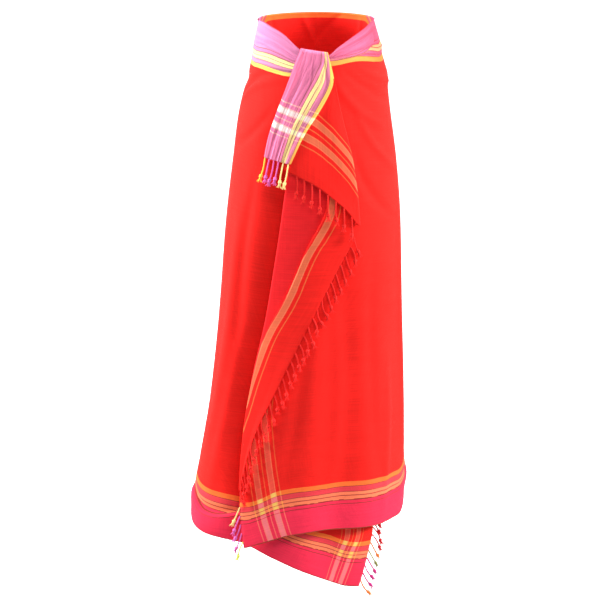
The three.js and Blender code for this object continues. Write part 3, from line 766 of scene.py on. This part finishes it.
def cloth_material(name, field_name="field", cross_name="back_cross"):
    """The kikoy's woven pattern: borders along its edges, and stripes across it near its fringed ends."""
    colours = bpy.context.scene.kikoy_colours
    sizes = bpy.context.scene.kikoy_cloth
    made = ShaderTree(name)
    measures = made.node("ShaderNodeUVMap", uv_map="cloth").outputs[0]
    split = made.node("ShaderNodeSeparateXYZ")
    made.feed(split.inputs[0], measures)
    along, across = split.outputs[0], split.outputs[1]

    wobble = made.math("SUBTRACT", made.noise(measures, (60, 60, 60), 2.0), 0.5)
    shift = made.math("MULTIPLY", wobble, WOBBLE)
    lower = made.math("GREATER_THAN", across, CLOTH_WIDTH / 2)
    from_edge = made.math("MINIMUM", across, made.math("SUBTRACT", CLOTH_WIDTH, across))
    in_border = made.math("DIVIDE", made.math("ADD", from_edge, shift), BORDER_REACH)
    in_stripes = made.math("DIVIDE", made.math("ADD", along, shift), CROSS_REACH)

    def borders(top, foot):
        """The upper and the lower border, from the names of the colours that border_rows takes."""
        both = []
        for names in (top, foot):
            picked = [linear(getattr(colours, name)) for name in names]
            both.append(made.steps(in_border, border_rows(*picked), BORDER_REACH))
        return made.blend(lower, *both)

    def marked(ground, middles, width, strength, laid):
        """The ground with another colour laid over it about each middle."""
        rows = [(0.0, BLACK)]
        for middle in middles:
            rows += [(middle - width / 2, WHITE), (middle + width / 2, BLACK)]
        share = made.math("MULTIPLY", made.steps(in_stripes, rows, CROSS_REACH), strength)
        return made.blend(share, ground, laid)

    # The upper border's edge takes the painted shade of its rolled edge.
    top = ("top_border", "top_line", "top_stripe", "top_strip", "top_band", "edge_shade_and_stitch", field_name)
    blushed = ("blushed_border", "blushed_line", "blushed_stripe", "blushed_border", "blushed_band",
               "blushed_border", field_name)
    foot = ("foot_border", "foot_line", "foot_stripe", "foot_strip", "foot_band", "hem_stitch", field_name)
    top_crossed = ("top_cross", "top_strip", "top_cross_bright", "top_cross", "top_cross_bright",
                   "top_cross", cross_name)
    foot_crossed = ("foot_cross", "foot_strip", "foot_cross_bright", "foot_cross", "foot_cross_bright",
                    "hem_stitch", cross_name)
    blush = made.node("ShaderNodeAttribute", attribute_name="blush").outputs["Fac"]
    ground = made.blend(blush, borders(top, foot), borders(blushed, foot))
    crossed = borders(top_crossed, foot_crossed)
    band_edge = made.blend(EDGE_SHARE, crossed, linear(colours.cross_edge))
    thin_line = made.blend(EDGE_SHARE, crossed, linear(colours.thin_line))
    lines = [sizes.first_line + LINE_SPACING * k for k in range(3)]
    bands = [sizes.first_line + LINE_SPACING * (k + 0.5) for k in range(2)]
    colour = marked(ground, lines, *THIN_LINE, thin_line)
    colour = marked(colour, bands, *CROSS_BAND, band_edge)
    colour = marked(colour, bands, *BAND_CORE, crossed)

    slub_across = made.noise(measures, (18, 420, 1), 3.0)
    slub_along = made.noise(measures, (560, 11, 1), 3.0)
    cloud = made.noise(measures, (7, 11, 1), 3.0)
    creases = made.noise(measures, (20, 30, 1), 4.0)
    # The gathers' noise, scaled by how gathered the cloth is, raises the surface and also darkens and
    # lightens its colour: painted shade and light along the gathers' creases.
    gathered = made.node("ShaderNodeAttribute", attribute_name="gathered").outputs["Fac"]
    gather_bumps_and_shade = made.math("SUBTRACT", made.noise(measures, (9, 150, 1), 2.5), 0.5)
    gather_bumps_and_shade = made.math("MULTIPLY", gather_bumps_and_shade, gathered)
    pitch = 2 * math.pi / sizes.thread
    warp = made.math("SINE", made.math("MULTIPLY", across, pitch))
    weft = made.math("SINE", made.math("MULTIPLY", along, pitch))
    weave = made.math("MULTIPLY", warp, weft)

    pale = made.total(0.0, (slub_across, 0.003), (slub_along, 0.003))
    colour = made.blend(pale, colour, WHITE)
    # In the tone, the gathers' part is painted shade and light along the gathers' creases; the slubs and
    # clouds are the weave's own unevenness.
    tone = made.total(0.63, (slub_across, 0.34), (slub_along, 0.16), (cloud, 0.24), (gather_bumps_and_shade, 0.80))
    height = made.total(0.0, (weave, 0.16), (slub_across, 0.5), (creases, 3.6), (gather_bumps_and_shade, 12.0))
    return made.finish(colour, tone, height, COTTON_BUMP, COTTON)


def thread_material(name, colour):
    """Twisted cotton thread."""
    made = ShaderTree(name)
    fuzz = made.noise(made.node("ShaderNodeTexCoord").outputs["Object"], (900, 900, 900), 3.0)
    tone = made.total(0.72, (fuzz, 0.5))
    spun = linear([part / 255 for part in colour])[:3]
    return made.finish(spun, tone, fuzz, THREAD_BUMP, THREAD)


def shared_material(name, maker, *values):
    return bpy.data.materials.get(name) or maker(name, *values)


def field_cloth():
    return shared_material("woven kikoy cotton", cloth_material)


def face_cloth():
    return shared_material("woven kikoy cotton, right side", cloth_material, "field", "face_cross")


# ------------------------------------------------------------------------------------------- tassels
def strand(curve, points, radius, thread, taper=1.0):
    """One thread along its points, in the thread colour's material slot."""
    spline = curve.splines.new("POLY")
    spline.points.add(len(points) - 1)
    for i, (place, point) in enumerate(zip(spline.points, points)):
        place.co = (*point, 1.0)
        place.radius = radius * mix(1.0, taper, i / (len(points) - 1))
    spline.material_index = thread
    spline.use_smooth = True


# A tassel's parts, as shares of its cord's width and of its knot's height.
CORD = {"thread": 0.30, "apart": 0.26}
KNOT = {"strand": 0.19, "radius": 0.21, "wound": 0.62, "turns": 2.3, "steps": 22, "heart": 0.26}
TUFT = {"thread": 0.22, "taper": 0.55, "start": 0.3, "radius": 0.16, "steps": 3}


def tassel(curve, root, tip, sag, thread, chance):
    """Two threads twisted round each other, a knot wound near their end and a small tuft below it."""
    sizes = bpy.context.scene.kikoy_tassels
    axis = (tip - root).normalized()
    side = axis.orthogonal().normalized()
    front = axis.cross(side)
    length = (tip - root).length

    def centre(share):
        return root.lerp(tip, share) + sag * swell(share)

    def outward(turn, radius):
        return (side * math.cos(turn) + front * math.sin(turn)) * radius

    knot_share = 1 - (sizes.tuft + sizes.knot / 2) / length
    phase = chance.uniform(0, 2 * math.pi)
    for k in range(2):
        points = []
        for i in range(sizes.strand_steps + 1):
            share = knot_share * i / sizes.strand_steps
            turn = phase + math.pi * k + 2 * math.pi * share * length / sizes.twist
            apart = sizes.cord * CORD["apart"] * rise(share, -0.01, 0.04)
            points.append(centre(share) + outward(turn, apart))
        strand(curve, points, sizes.cord * CORD["thread"], thread)

    points = []
    for i in range(KNOT["steps"] + 1):
        t = i / KNOT["steps"]
        share = knot_share + (t - 0.5) * sizes.knot * KNOT["wound"] / length
        radius = sizes.knot * KNOT["radius"] * swell(min(max(t, 0.06), 0.94), 0.5)
        points.append(centre(share) + outward(phase + KNOT["turns"] * 2 * math.pi * t, radius))
    strand(curve, points, sizes.knot * KNOT["strand"], thread)
    heart = [centre(knot_share - 0.02), centre(knot_share + 0.03)]
    strand(curve, heart, sizes.knot * KNOT["heart"], thread)

    for k in range(sizes.tuft_threads):
        turn = 2 * math.pi * (k + chance.uniform(-0.3, 0.3)) / sizes.tuft_threads
        reach = sizes.tuft * chance.uniform(0.8, 1.25)
        flare = chance.uniform(0.30, 0.62)
        points = []
        for i in range(TUFT["steps"] + 1):
            down = i / TUFT["steps"]
            radius = sizes.knot * TUFT["radius"] + reach * flare * down * down
            fall = axis * (sizes.knot * TUFT["start"] + reach * down)
            points.append(centre(knot_share) + fall + outward(turn, radius))
        strand(curve, points, sizes.cord * TUFT["thread"], thread, TUFT["taper"])


def tassel_row(name, places, threads, nodes):
    """All the tassels of one fringe as one mesh. places are rows of (root, tip, sag, thread)."""
    curve = bpy.data.curves.new(name + " threads", "CURVE")
    curve.dimensions = "3D"
    curve.bevel_mode = "ROUND"
    curve.bevel_depth = 1.0
    curve.bevel_resolution = 1
    curve.use_fill_caps = True
    for thread in threads:
        curve.materials.append(thread)
    chance = random.Random(name)
    for root, tip, sag, thread in places:
        tassel(curve, root, tip, sag, thread, chance)
    drawn = placed(curve.name, curve)
    bpy.context.view_layer.update()
    mesh = bpy.data.meshes.new_from_object(drawn.evaluated_get(bpy.context.evaluated_depsgraph_get()))
    bpy.data.objects.remove(drawn)
    bpy.data.curves.remove(curve)
    mesh.name = name
    dress(placed(name, mesh), nodes)


# ------------------------------------------------------------------------------------------- settings
def size(name, description, default, low=0.0001, high=10.0):
    return FloatProperty(name=name, description=description, default=default, min=low, max=high,
                         subtype="DISTANCE", unit="LENGTH", precision=4)


def colour(name, description, default):
    scaled = tuple(part / 255 for part in default)
    return FloatVectorProperty(name=name, description=description, default=scaled, min=0, max=1,
                               size=3, subtype="COLOR_GAMMA")


def watts(name, where, default):
    description = "Power of the light " + where + " in watts"
    return FloatProperty(name=name, description=description, default=default, min=0)


class KikoyClothSettings(bpy.types.PropertyGroup):
    thickness: size("Thickness", "Thickness of the cotton cloth", 0.0009)
    thread: size("Thread spacing", "Distance between two threads of the weave", 0.0011)
    first_line: size("First cross line", "From the fringed end to the first thin line", 0.050)


class KikoyColourSettings(bpy.types.PropertyGroup):
    field: colour("Field", "The plain field", (238, 30, 23))
    pleat_field: colour("Pleat", "The field where it shows in the pleat", (232, 30, 36))
    top_border: colour("Top border", "Plain part of the upper border", (226, 132, 176))
    top_strip: colour("Top strip", "Strip beside the upper stripes", (210, 131, 167))
    # Painted shade: a dark line along the upper border's top edge, where the inside of its rolled edge lies
    # in shade.
    edge_shade_and_stitch: colour("Edge_shade", "The upper border's own edge", (176, 82, 110))
    top_line: colour("Top line", "Dark lines of the upper border", (168, 104, 104))
    top_stripe: colour("Top stripe", "Stripes of the upper border", (250, 236, 158))
    top_band: colour("Top band", "Band beside the field at the top", (252, 204, 100))
    blushed_border: colour("Blushed border", "The upper border's other tone", (238, 72, 98))
    blushed_line: colour("Blushed line", "Dark lines in the other tone", (170, 50, 60))
    blushed_stripe: colour("Blushed stripe", "Stripes in the other tone", (250, 140, 100))
    blushed_band: colour("Blushed band", "Band in the other tone", (250, 108, 44))
    foot_border: colour("Lower border", "Plain part of the lower border", (238, 45, 76))
    foot_strip: colour("Lower strip", "Strip beside the lower stripes", (224, 60, 70))
    foot_line: colour("Lower line", "Dark lines of the lower border", (150, 46, 46))
    foot_stripe: colour("Lower stripe", "Stripes of the lower border", (246, 122, 84))
    foot_band: colour("Lower band", "Band beside the field at the hem", (248, 112, 48))
    hem_stitch: colour("Hem", "The hem's narrow stitched edge", (196, 86, 62))
    back_cross: colour("Cross band, back", "Cross bands on the field's wrong side", (228, 104, 70))
    face_cross: colour("Cross band, face", "Cross bands on the field's right side", (240, 76, 60))
    thin_line: colour("Thin line", "Thin cross lines", (252, 112, 40))
    cross_edge: colour("Cross band edge", "Edges of the cross bands", (252, 150, 104))
    top_cross: colour("Cross band, top", "Cross bands on the upper border", (247, 220, 216))
    top_cross_bright: colour("Crossing, top", "Where they cross the upper stripes", (252, 250, 184))
    foot_cross: colour("Cross band, hem", "Cross bands on the lower border", (246, 120, 128))
    foot_cross_bright: colour("Crossing, hem", "Where they cross the lower stripes", (246, 200, 98))


class KikoyTasselSettings(bpy.types.PropertyGroup):
    length: size("Length", "Length of a tassel with its knot", 0.046)
    cord: size("Cord", "Width of the twisted cord", 0.0030)
    twist: size("Twist", "Length of one turn of the twist", 0.0062)
    knot: size("Knot", "Height of the knot", 0.0100)
    tuft: size("Tuft", "Length of the tuft below the knot", 0.0076)
    strand_steps: IntProperty(name="Steps", description="Steps along a strand", default=46, min=8, max=120)
    tuft_threads: IntProperty(name="Tuft threads", description="Threads in a tuft", default=9, min=3, max=30)


class KikoyStageSettings(bpy.types.PropertyGroup):
    floor: FloatProperty(name="Floor", description="Height of the floor", default=-1.20,
                         subtype="DISTANCE", unit="LENGTH")
    camera_lens: FloatProperty(name="Lens", description="Focal length in millimetres", default=143.0)
    camera_pitch: FloatProperty(name="Pitch", description="How far the camera looks down",
                                default=math.radians(14.51), subtype="ANGLE", unit="ROTATION")
    camera_place: FloatVectorProperty(name="Camera", description="Where the camera stands",
                                      default=(-0.031, -4.5, 0.62), subtype="TRANSLATION", unit="LENGTH")
    right: watts("Right light", "at the right", 290.0)
    left: watts("Left light", "at the left", 310.0)
    front: watts("Front light", "in front", 65.0)
    backdrop: watts("Backdrop light", "on the floor behind", 600.0)
    sky: FloatProperty(name="Sky", description="Strength of the even light", default=0.55)


# ------------------------------------------------------------------------------------------- pieces
class KIKOY_OT_wrap(bpy.types.Operator):
    """Make the cloth wound round the body, from its hidden end to the fold of its outer end"""

    bl_idname = "kikoy.wrap"
    bl_label = "Wrapped cloth"

    def execute(self, context):
        rows = sum(WRAP_ROWS)

        def lay(u, v):
            z = -0.5
            for _ in range(SETTLING):
                angle = mix(outer_edge(z), 360 + inner_end(z), u)
                z, across = down_the_wrap(angle, v * rows)
            point = on_form(angle, z, wrap_out(angle, z))
            return point, (wrap_along(angle, z), across), wrap_gathers(angle, across), wrap_blush(angle)

        piece = cloth_grid("wrapped_cloth", 232, rows, lay)
        nodes = ("inner_front", "back_wrap", "outer_front", "left_band", "right_band")
        finish_cloth(piece, face_cloth(), nodes)
        return {"FINISHED"}


# Where in the plain field the pieces without a border lie, along or across the cloth.
IN_FIELD = {"pleat along": 0.4, "pleat across": 0.3, "turned": 0.2, "fall": 0.3, "turnover": 0.5}
ROLL = 0.22  # share of a piece's columns that its folded edge takes
PLEAT = {"top": -0.200, "foot": -0.700, "deep": 0.005, "width": 36}


class KIKOY_OT_pleat(bpy.types.Operator):
    """Make the narrow pleat that shows beside the turned end"""

    bl_idname = "kikoy.pleat"
    bl_label = "Inner pleat"

    def execute(self, context):
        def lay(u, v):
            z = mix(PLEAT["top"], PLEAT["foot"], v)
            angle, out = pleat_edge(z), LAYER["pleat"]
            if u < ROLL:
                angle, out = rolled(u / ROLL, angle, z, out - PLEAT["deep"], out, 1)
            else:
                angle += PLEAT["width"] * (u - ROLL) / (1 - ROLL)
            along = IN_FIELD["pleat along"] + angle * girth_at(angle, z)
            return on_form(angle, z, out), (along, IN_FIELD["pleat across"] - z), 0.0, 0.0

        piece = cloth_grid("inner_pleat_cloth", 34, 110, lay)
        material = shared_material("woven kikoy cotton in the pleat", cloth_material, "pleat_field")
        finish_cloth(piece, material, ("inner_pleat",))
        return {"FINISHED"}


TURNED_TOP = -0.220
TURNED_FOOT = -0.893
TURNED_LEAST = 0.005  # its least width
TURNED_TUCK = 0.006  # how far it goes in under the fall's rolled edge
TURNED_LIFT = 0.0016
TURNED_WIDEST = 0.074
TURNED_BEHIND = 0.002  # width of cloth in its fold
TURNED_SLANT = 0.7  # its field runs slanting, so its drop takes less of the cloth's width


def turned_right(z):
    """The turned end's edge: fringed where it shows, and inside the fall's rolled edge above that."""
    edge = turned_edge(z)
    if z > FALL_FOOT:
        edge = fall_fold(z) - TURNED_TUCK / girth_at(0, z)
    return max(edge, outer_edge(z) + TURNED_LEAST / girth_at(0, z))


def turned_out(share):
    """The turned end lifts a little at its fringed edge."""
    return LAYER["turned"] + TURNED_LIFT * rise(share, 0.6, 1)


class KIKOY_OT_turned_end(bpy.types.Operator):
    """Make the fringed end that is turned back over the front"""

    bl_idname = "kikoy.turned_end"
    bl_label = "Turned end"

    def execute(self, context):
        def lay(u, v):
            z = mix(TURNED_TOP, TURNED_FOOT, v)
            fold = outer_edge(z)
            if u < ROLL:
                angle, out = rolled(u / ROLL, fold, z, LAYER["outer"], LAYER["turned"], 1)
            else:
                share = (u - ROLL) / (1 - ROLL)
                angle, out = mix(fold, turned_right(z), share), turned_out(share)
            behind = TURNED_BEHIND * (1 - min(u / ROLL, 1.0))
            along = min(fold_along(z), TURNED_WIDEST) + behind - max(from_fold(angle, z), 0)
            return on_form(angle, z, out), (along, IN_FIELD["turned"] - z * TURNED_SLANT), 0.0, 0.0

        piece = cloth_grid("turned_end_cloth", 34, 150, lay)
        finish_cloth(piece, field_cloth(), ("turned_end",))
        return {"FINISHED"}


FALL_TOP = -0.092
FALL_UNDER_TAIL = 5  # degrees
FALL_PUFF = 0.0085
FALL_RIPPLE = 0.0016
FALL_FLAT = 0.74  # share of its columns that lies in front of its rolled edge
FALL_SLANT = 0.80  # length along the cloth for each metre of its drop
FALL_BEND = 0.004  # how far its stripes bend up towards that edge
FALL_BEND_ROLLED = 0.010  # and in the roll


def fall_left(z):
    return tail_right(z) - FALL_UNDER_TAIL


def fall_top(angle):
    return FALL_TOP


def fall_at(across, v):
    return between(fall_left, fall_fold, fall_top, fall_hem, across, v)


def fall_out(across, z):
    """The fall stands further out towards its rolled edge."""
    puff = FALL_PUFF * rise(z, FALL_TOP, FALL_TOP - 0.22) * rise(across, 0.15, 0.90)
    ripple = FALL_RIPPLE * math.sin(across * 9 + z * 30) * rise(z, FALL_TOP, FALL_TOP - 0.15)
    return LAYER["fall"] + puff + ripple * rise(across, 0, 1 / 3)


class KIKOY_OT_fall(bpy.types.Operator):
    """Make the cascade that falls beside the tail"""

    bl_idname = "kikoy.fall"
    bl_label = "Corner fall"

    def execute(self, context):
        def lay(u, v):
            across = min(u / FALL_FLAT, 1.0)
            angle, z = fall_at(across, v)
            out = fall_out(across, z)
            past = max(u - FALL_FLAT, 0) / (1 - FALL_FLAT)
            if past > 0:
                angle, out = rolled(1 - past, angle, z, LAYER["turned"], out, -1)
            bend = FALL_BEND * rise(across, 0.7, 1) + FALL_BEND_ROLLED * past
            along = FALL_SLANT * (z - fall_hem(angle)) + bend
            return on_form(angle, z, out), (along, IN_FIELD["fall"] + angle * girth_at(0, z)), 0.0, 0.0

        piece = cloth_grid("corner_fall_cloth", 60, 74, lay)
        finish_cloth(piece, field_cloth(), ("corner_fall",))
        return {"FINISHED"}


TAIL = {"left_top": -0.042, "right_top": -0.049, "left_foot": -0.240, "right_foot": -0.251,
        "rise": 0.004, "inside": -0.0032, "tuck": 0.030, "crown": 0.0030, "flat": 0.0012, "edge": 0.0026}
TAIL_ROWS = {"tuck": 8, "roll": 14, "front": 96}
TAIL_HEM = 0.004  # how far across the cloth its left edge lies
TAIL_TILT = 0.011  # how far its cross stripes slant down over its width
TAIL_TWIST = 0.013  # and how much further in its upper part
TAIL_BLUSH = (0.25, 0.60)  # its turn to pink, at its right and at its left edge
TAIL_CREASES = [  # shares across and down at its start, and at its end, half width, out
    (0.30, 0.02, 0.22, 0.55, 0.045, -0.0015),
    (0.52, 0.00, 0.48, 0.50, 0.040, -0.0018),
    (0.66, 0.06, 0.62, 0.70, 0.045, 0.0014),
    (0.80, 0.00, 0.84, 0.45, 0.040, -0.0016),
    (0.12, 0.10, 0.16, 0.85, 0.050, 0.0013),
    (0.24, 0.62, 0.22, 1.05, 0.050, -0.0019),
    (0.46, 0.66, 0.48, 1.05, 0.045, -0.0018),
    (0.68, 0.60, 0.72, 1.05, 0.040, -0.0018),
    (0.84, 0.62, 0.86, 1.05, 0.040, 0.0016),
]
stripe_share = smooth_line([
    (-0.040, 0.12), (-0.060, 0.16), (-0.080, 0.30), (-0.100, 0.40), (-0.120, 0.45),
    (-0.165, 0.45), (-0.200, 0.40), (-0.250, 0.34),
])


def tail_foot(u):
    return mix(TAIL["left_foot"], TAIL["right_foot"], u)


def tail_crown(u, down):
    """The tail is soft: it rounds off towards its folded edges and has creases down its length."""
    out = TAIL["crown"] * swell(u, 0.6) - TAIL["flat"] - TAIL["edge"] * rise(min(u, 1 - u), 0.07, 0)
    for start_u, start_v, end_u, end_v, width, depth in TAIL_CREASES:
        along = (down - start_v) / (end_v - start_v)
        if 0 < along < 1.2:
            middle = mix(start_u, end_u, min(along, 1))
            fade = swell(min(along, 0.98), 0.5) if end_v < 1 else rise(along, 0, 1 / 3)
            out += depth * fade * bell(u - middle, width)
    return out


class KIKOY_OT_tail(bpy.types.Operator):
    """Make the corner that comes over the waist's edge and hangs in front"""

    bl_idname = "kikoy.tail"
    bl_label = "Tied tail"

    def execute(self, context):
        tuck_rows, roll_rows, front_rows = TAIL_ROWS.values()
        rows = sum(TAIL_ROWS.values())

        def lay(u, v):
            row = v * rows
            top = mix(TAIL["left_top"], TAIL["right_top"], u)
            angle = mix(tail_left(top), tail_right(top), u)
            if row < tuck_rows:
                out, z = TAIL["inside"], top - TAIL["tuck"] * (1 - row / tuck_rows)
            elif row < tuck_rows + roll_rows:
                turn = math.pi * (row - tuck_rows) / roll_rows
                out = mix(TAIL["inside"], LAYER["tail"] + tail_crown(u, 0), (1 - math.cos(turn)) / 2)
                z = top + TAIL["rise"] * math.sin(turn)
            else:
                down = (row - tuck_rows - roll_rows) / front_rows
                z = mix(top, tail_foot(u), down)
                angle = mix(tail_left(z), tail_right(z), u)
                out = LAYER["tail"] + tail_crown(u, down)
            striped = 1 - stripe_share(z)
            if u < striped:
                across = mix(TAIL_HEM, STRIPES, u / striped)
            else:
                across = mix(STRIPES, BORDER, (u - striped) / (1 - striped))
            tilt = u * (TAIL_TILT + TAIL_TWIST * rise(z, TAIL["left_foot"], -0.180))
            along = max(z - TAIL["left_foot"] + tilt, 0.0)
            # How gathered its roll is, which sets the gathers' bump and their painted shade.
            gathered = ease((row - tuck_rows) / roll_rows)
            blush = mix(*TAIL_BLUSH, rise(u, 0.3, 0))
            return on_form(angle, z, out), (along, across), gathered, blush

        piece = cloth_grid("tied_tail_cloth", 56, rows, lay)
        finish_cloth(piece, field_cloth(), ("tied_tail",))
        return {"FINISHED"}


# The turned-down border: the share of its rows in its fold, how far it stands out at the back and at its
# ends, its clearance over the layers at the sides, the swing and the number of its folds, its least height,
# and how gathered it is.
TURNOVER = {"roll": 0.16, "thick": 0.0026, "thin": 0.0008, "clear": 0.0012, "flare": 0.0022, "folds": 11,
            "least": 0.0010, "gathered": 0.25}


class KIKOY_OT_turnover(bpy.types.Operator):
    """Make the upper border that is folded down outside the back"""

    bl_idname = "kikoy.turnover"
    bl_label = "Turned-down border"

    def execute(self, context):
        roll = TURNOVER["roll"]

        def lay(u, v):
            angle = mix(TURN_START, 360 - TURN_START, u)
            near = from_front(angle)
            thick = mix(TURNOVER["thin"], TURNOVER["thick"], rise(near, TURN_START, TURN_START + 18))
            clear = TURNOVER["clear"] * rise(near, SIDE + 12, SIDE - 8)
            down = max((v - roll) / (1 - roll), 0)
            if v < roll:
                turn = math.pi * v / roll
                out = clear * v / roll + thick / 2 * (1 - math.cos(turn))
                z = RIM + thick / 2 * math.sin(turn)
            else:
                fold = math.sin(math.radians(angle) * TURNOVER["folds"])
                out = clear + thick + TURNOVER["flare"] * down * ease(down) * fold
                z = RIM - max(turned_down(angle), TURNOVER["least"]) * down
            measures = (IN_FIELD["turnover"] + angle * girth_at(angle, 0), turned_down(angle) * (1 - down))
            # How gathered it is sets its gathers' bump and their painted shade.
            return on_form(angle, z, out), measures, TURNOVER["gathered"], 0.0

        piece = cloth_grid("waist_turnover_cloth", 120, 34, lay)
        finish_cloth(piece, field_cloth(), ("waist_turnover",))
        return {"FINISHED"}


THREADS = {
    "red": (236, 34, 30),
    "crimson": (204, 24, 34),
    "orchid": (232, 110, 190),
    "magenta": (206, 50, 130),
    "yellow": (250, 226, 84),
    "cream": (248, 226, 150),
    "lime": (232, 238, 110),
    "orange": (240, 130, 60),
    "olive": (150, 150, 90),
}
# Where each fringe starts and ends: shares across the tail, angles on the fall, and heights on the others.
FRINGE_ENDS = {
    "tail": (0, 1),
    "fall": (-14, 25),
    "turned": (-0.384, TURNED_FOOT),
    "corner": (-0.918, -1.003),
    "inner": (-0.948, -1.092),
}
FALL_FOOT_ENDS = (-20, 27)  # angles of the fall's foot at its left and right edges


def fringe_edge(kind, t):
    """The angle, height and distance out of a place on a fringed edge."""
    place = mix(*FRINGE_ENDS[kind], t)
    if kind == "tail":
        angle = mix(tail_left(TAIL["left_foot"]), tail_right(TAIL["right_foot"]), t)
        return angle, tail_foot(t), LAYER["tail"]
    if kind == "fall":
        left, right = FALL_FOOT_ENDS
        z = fall_hem(place)
        return place, z, fall_out((place - left) / (right - left), z)
    if kind == "turned":
        return turned_right(place), place, turned_out(1)
    if kind == "corner":
        return outer_edge(place), place, LAYER["outer"]
    return inner_end(place), place, layer_out(360 + inner_end(place), place)


FRINGES = [  # kind, CAD node, slot, count, hang to the side, hang down, sway, lift of the tip, threads
    ("tail", "tail_fringe", "mixed_fringe", 6, -0.12, 1.05, 0.10, 0.003,
     ["yellow"] + ["orchid"] * 3 + ["cream"] * 2),
    ("fall", "fall_fringe", "red_fringe", 8, 0.02, 1.05, 0.08, 0.0, ["red"]),
    ("turned", "turned_fringe", "red_fringe", 30, 0.27, 0.90, 0.20, 0.0016, ["red"]),
    ("corner", "corner_fringe", "mixed_fringe", 5, -0.28, 0.90, 0.10, 0.001,
     ["cream"] + ["orchid"] * 3 + ["lime"]),
    ("inner", "inner_fringe", "mixed_fringe", 10, 0.50, 0.84, 0.16, 0.007,
     ["crimson"] * 4 + ["orange", "olive"] + ["magenta"] * 3 + ["orange"]),
]


class KIKOY_OT_tassels(bpy.types.Operator):
    """Make the knotted tassels along each fringed edge that shows"""

    bl_idname = "kikoy.tassels"
    bl_label = "Tassels"

    def execute(self, context):
        length = context.scene.kikoy_tassels.length
        slots = list(THREADS)
        threads = [shared_material(name + " thread", thread_material, THREADS[name]) for name in slots]
        for kind, node, slot, count, hang_side, hang_down, sway, lift, names in FRINGES:
            chance = random.Random(kind)
            places = []
            for k in range(count):
                angle, z, out = fringe_edge(kind, (k + 0.5) / count)
                swing = sway * chance.uniform(-1, 1)
                reach = length * chance.uniform(0.90, 1.06)
                tip_z = z - reach * hang_down
                tip_angle = angle + reach * (hang_side + swing) / girth_at(angle, tip_z)
                root = on_form(angle, z, out)
                tip = on_form(tip_angle, tip_z, out + lift)
                sag = Vector((swing * -0.035, -0.0015, 0))
                places.append((root, tip, sag, slots.index(names[k % len(names)])))
            tassel_row(kind + "_tassels", places, threads, (node,))
        return {"FINISHED"}


def soft_light(name, place, aim, power, width):
    data = bpy.data.lights.new(name, "AREA")
    data.energy = power
    data.size = width
    lamp = placed(name, data)
    lamp.location = place
    lamp.rotation_euler = (Vector(aim) - Vector(place)).to_track_quat("-Z", "Y").to_euler()


class KIKOY_OT_stage(bpy.types.Operator):
    """Make the floor, the soft lights and the camera"""

    bl_idname = "kikoy.stage"
    bl_label = "Stage"

    def execute(self, context):
        stage = context.scene.kikoy_stage
        mesh = bpy.data.meshes.new("floor")
        made = bmesh.new()
        bmesh.ops.create_grid(made, x_segments=1, y_segments=1, size=40)
        bmesh.ops.translate(made, verts=made.verts, vec=(0, 0, stage.floor))
        made.to_mesh(mesh)
        made.free()
        floor = placed("floor", mesh)
        paint = ShaderTree("pale floor")
        paint.shader.inputs["Base Color"].default_value = (0.96, 0.96, 0.96, 1)
        paint.shader.inputs["Roughness"].default_value = 0.9
        mesh.materials.append(paint.material)
        floor.visible_diffuse = False

        world = bpy.data.worlds.new("soft daylight")
        world.use_nodes = True
        background = world.node_tree.nodes["Background"]
        background.inputs["Color"].default_value = WHITE
        background.inputs["Strength"].default_value = stage.sky
        context.scene.world = world
        middle = (0, 0, -0.5)
        soft_light("right light", (3.7, -0.7, 1.3), middle, stage.right, 1.4)
        soft_light("left light", (-3.5, 0.2, 1.0), middle, stage.left, 1.4)
        soft_light("front light", (0.4, -3.0, 3.2), middle, stage.front, 1.2)
        soft_light("backdrop light", (0, 6.5, 5.0), (0, 6.5, stage.floor), stage.backdrop, 8.0)

        lens = bpy.data.cameras.new("camera")
        lens.lens = stage.camera_lens
        lens.sensor_width = 36
        lens.clip_end = 100
        camera = placed("camera", lens)
        camera.location = stage.camera_place
        camera.rotation_euler = (math.pi / 2 - stage.camera_pitch, 0, 0)
        context.scene.camera = camera
        context.scene.view_settings.view_transform = "Standard"
        return {"FINISHED"}


class KIKOY_PT_panel(bpy.types.Panel):
    """The kikoy's pieces and settings"""

    bl_label = "Worn kikoy"
    bl_idname = "KIKOY_PT_panel"
    bl_space_type = "VIEW_3D"
    bl_region_type = "UI"
    bl_category = "Kikoy"

    def draw(self, context):
        for group in (context.scene.kikoy_cloth, context.scene.kikoy_colours,
                      context.scene.kikoy_tassels, context.scene.kikoy_stage):
            box = self.layout.box()
            for name in group.__annotations__:
                box.prop(group, name)
        for step in STEPS:
            self.layout.operator(step.bl_idname)


STEPS = (
    KIKOY_OT_wrap,
    KIKOY_OT_pleat,
    KIKOY_OT_turned_end,
    KIKOY_OT_fall,
    KIKOY_OT_tail,
    KIKOY_OT_turnover,
    KIKOY_OT_tassels,
    KIKOY_OT_stage,
)
GROUPS = {
    "kikoy_cloth": KikoyClothSettings,
    "kikoy_colours": KikoyColourSettings,
    "kikoy_tassels": KikoyTasselSettings,
    "kikoy_stage": KikoyStageSettings,
}


def register():
    for made in (*GROUPS.values(), *STEPS, KIKOY_PT_panel):
        bpy.utils.register_class(made)
    for name, group in GROUPS.items():
        setattr(bpy.types.Scene, name, PointerProperty(type=group))


def unregister():
    for name in GROUPS:
        delattr(bpy.types.Scene, name)
    for made in (KIKOY_PT_panel, *reversed(STEPS), *GROUPS.values()):
        bpy.utils.unregister_class(made)


def main():
    register()
    for step in STEPS:
        group, name = step.bl_idname.split(".")
        if getattr(getattr(bpy.ops, group), name)() != {"FINISHED"}:
            raise RuntimeError(step.bl_label + " was not made")


if __name__ == "__main__":
    main()
